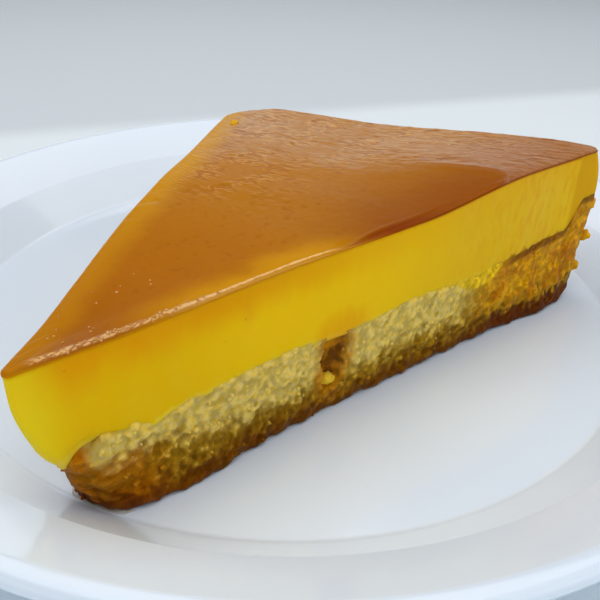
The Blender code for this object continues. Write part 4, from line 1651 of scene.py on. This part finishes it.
# %% [markdown]
# ## Syrup at the foot
#
# Under the tip a little syrup has run out of the sponge. It makes a film about a sixth of
# a millimetre thick that follows the foot. So thin a film tints the plate more than it
# bends the light, so it is a pale glossy body that lets most of the light through.

# %% Amber syrup
SYRUP = (0.86, 0.60, 0.20, 1.0)
SYRUP_DEEP = (0.70, 0.40, 0.07, 1.0)

syrup, tree, shader, at = food_material("amber_syrup")
cloud = mottle(at.place, 1.8, 2.0)
feed(
    shader,
    {
        "Base Color": mixed(ease(cloud, 0.35, 0.65), SYRUP, SYRUP_DEEP),
        "Roughness": ease(cloud, 0.3, 0.7, 0.05, 0.12),
        "Alpha": ease(cloud, 0.3, 0.7, 0.08, 0.22),
        "Coat Weight": 0.5,
        "Specular IOR Level": 0.3,
    },
)
print("syrup material has", len(tree.nodes), "nodes")


# %% The syrup pool
SYRUP_HEIGHT = 0.16 * MM
SYRUP_WIDTH = 1.1 * MM
SYRUP_INSIDE = 0.8 * MM
SYRUP_LIFT = 0.03 * MM - 0.3 * MM  # just over the plate, which lies below the foot
SYRUP_SPACING = 0.35 * MM
SYRUP_RUN = 14.0 * MM
CROSS_SECTION = (
    (-1.0, 0.0),
    (1.0, 0.0),
    (0.92, 0.12),
    (0.6, 0.35),
    (0.25, 0.72),
    (0.0, 1.0),
    (-1.0, 1.0),
)

side, share = stations(SYRUP_SPACING)
foot = wall_ring(side, share, 0.0, setback=FOOT_SETBACK)
outer = wall_ring(side, share, 0.0, inset=-MM, setback=FOOT_SETBACK)
outward = (outer - foot)[:, :2] / MM
turns = np.concatenate([np.flatnonzero(side == number) for number in (4, 5, 0)])
run = np.linalg.norm(foot[turns, :2], axis=1)
wet = turns[run < SYRUP_RUN]
reach = np.linspace(-1.0, 1.0, len(wet))
fade = np.clip(1.0 - reach**2, 0.0, 1.0)
uneven = 1.0 + 0.35 * ripples(foot[wet], 3.0 * MM)
sections = []
for index, share_of_pool, bulge in zip(wet, fade, uneven):
    width = (0.04 + 0.96 * share_of_pool) * bulge * SYRUP_WIDTH
    loop = []
    for across, up in CROSS_SECTION:
        out = across * (width if across > 0 else SYRUP_INSIDE * share_of_pool)
        plan_point = foot[index, :2] + outward[index] * out
        loop.append((*plan_point, SYRUP_LIFT + up * (0.15 + 0.85 * share_of_pool) * SYRUP_HEIGHT))
    sections.append(loop)
syrup_pool = closed_shell("syrup_pool", [np.array(loop) for loop in sections[::-1]], syrup)

# %% [markdown]
# ## Joining the pieces to the frame
#
# The slice has no moving parts, so every piece rides the one body, the root. Each
# detailed layer takes the place of its plain solid.

# %% Pieces ride the root
replacements = {
    porcelain_plate: "plate",
    sponge_crumb: "sponge_base",
    custard_block: "egg_yolk_custard",
    caramel_sheet: "caramel_top",
}
extras = (clinging_crumbs, placed_crumbs, caramel_bubbles, syrup_pool)
for piece in (*replacements, *extras):
    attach(piece, "root")
for piece, node in replacements.items():
    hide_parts(node)
print(len(replacements) + len(extras), "pieces on the root")
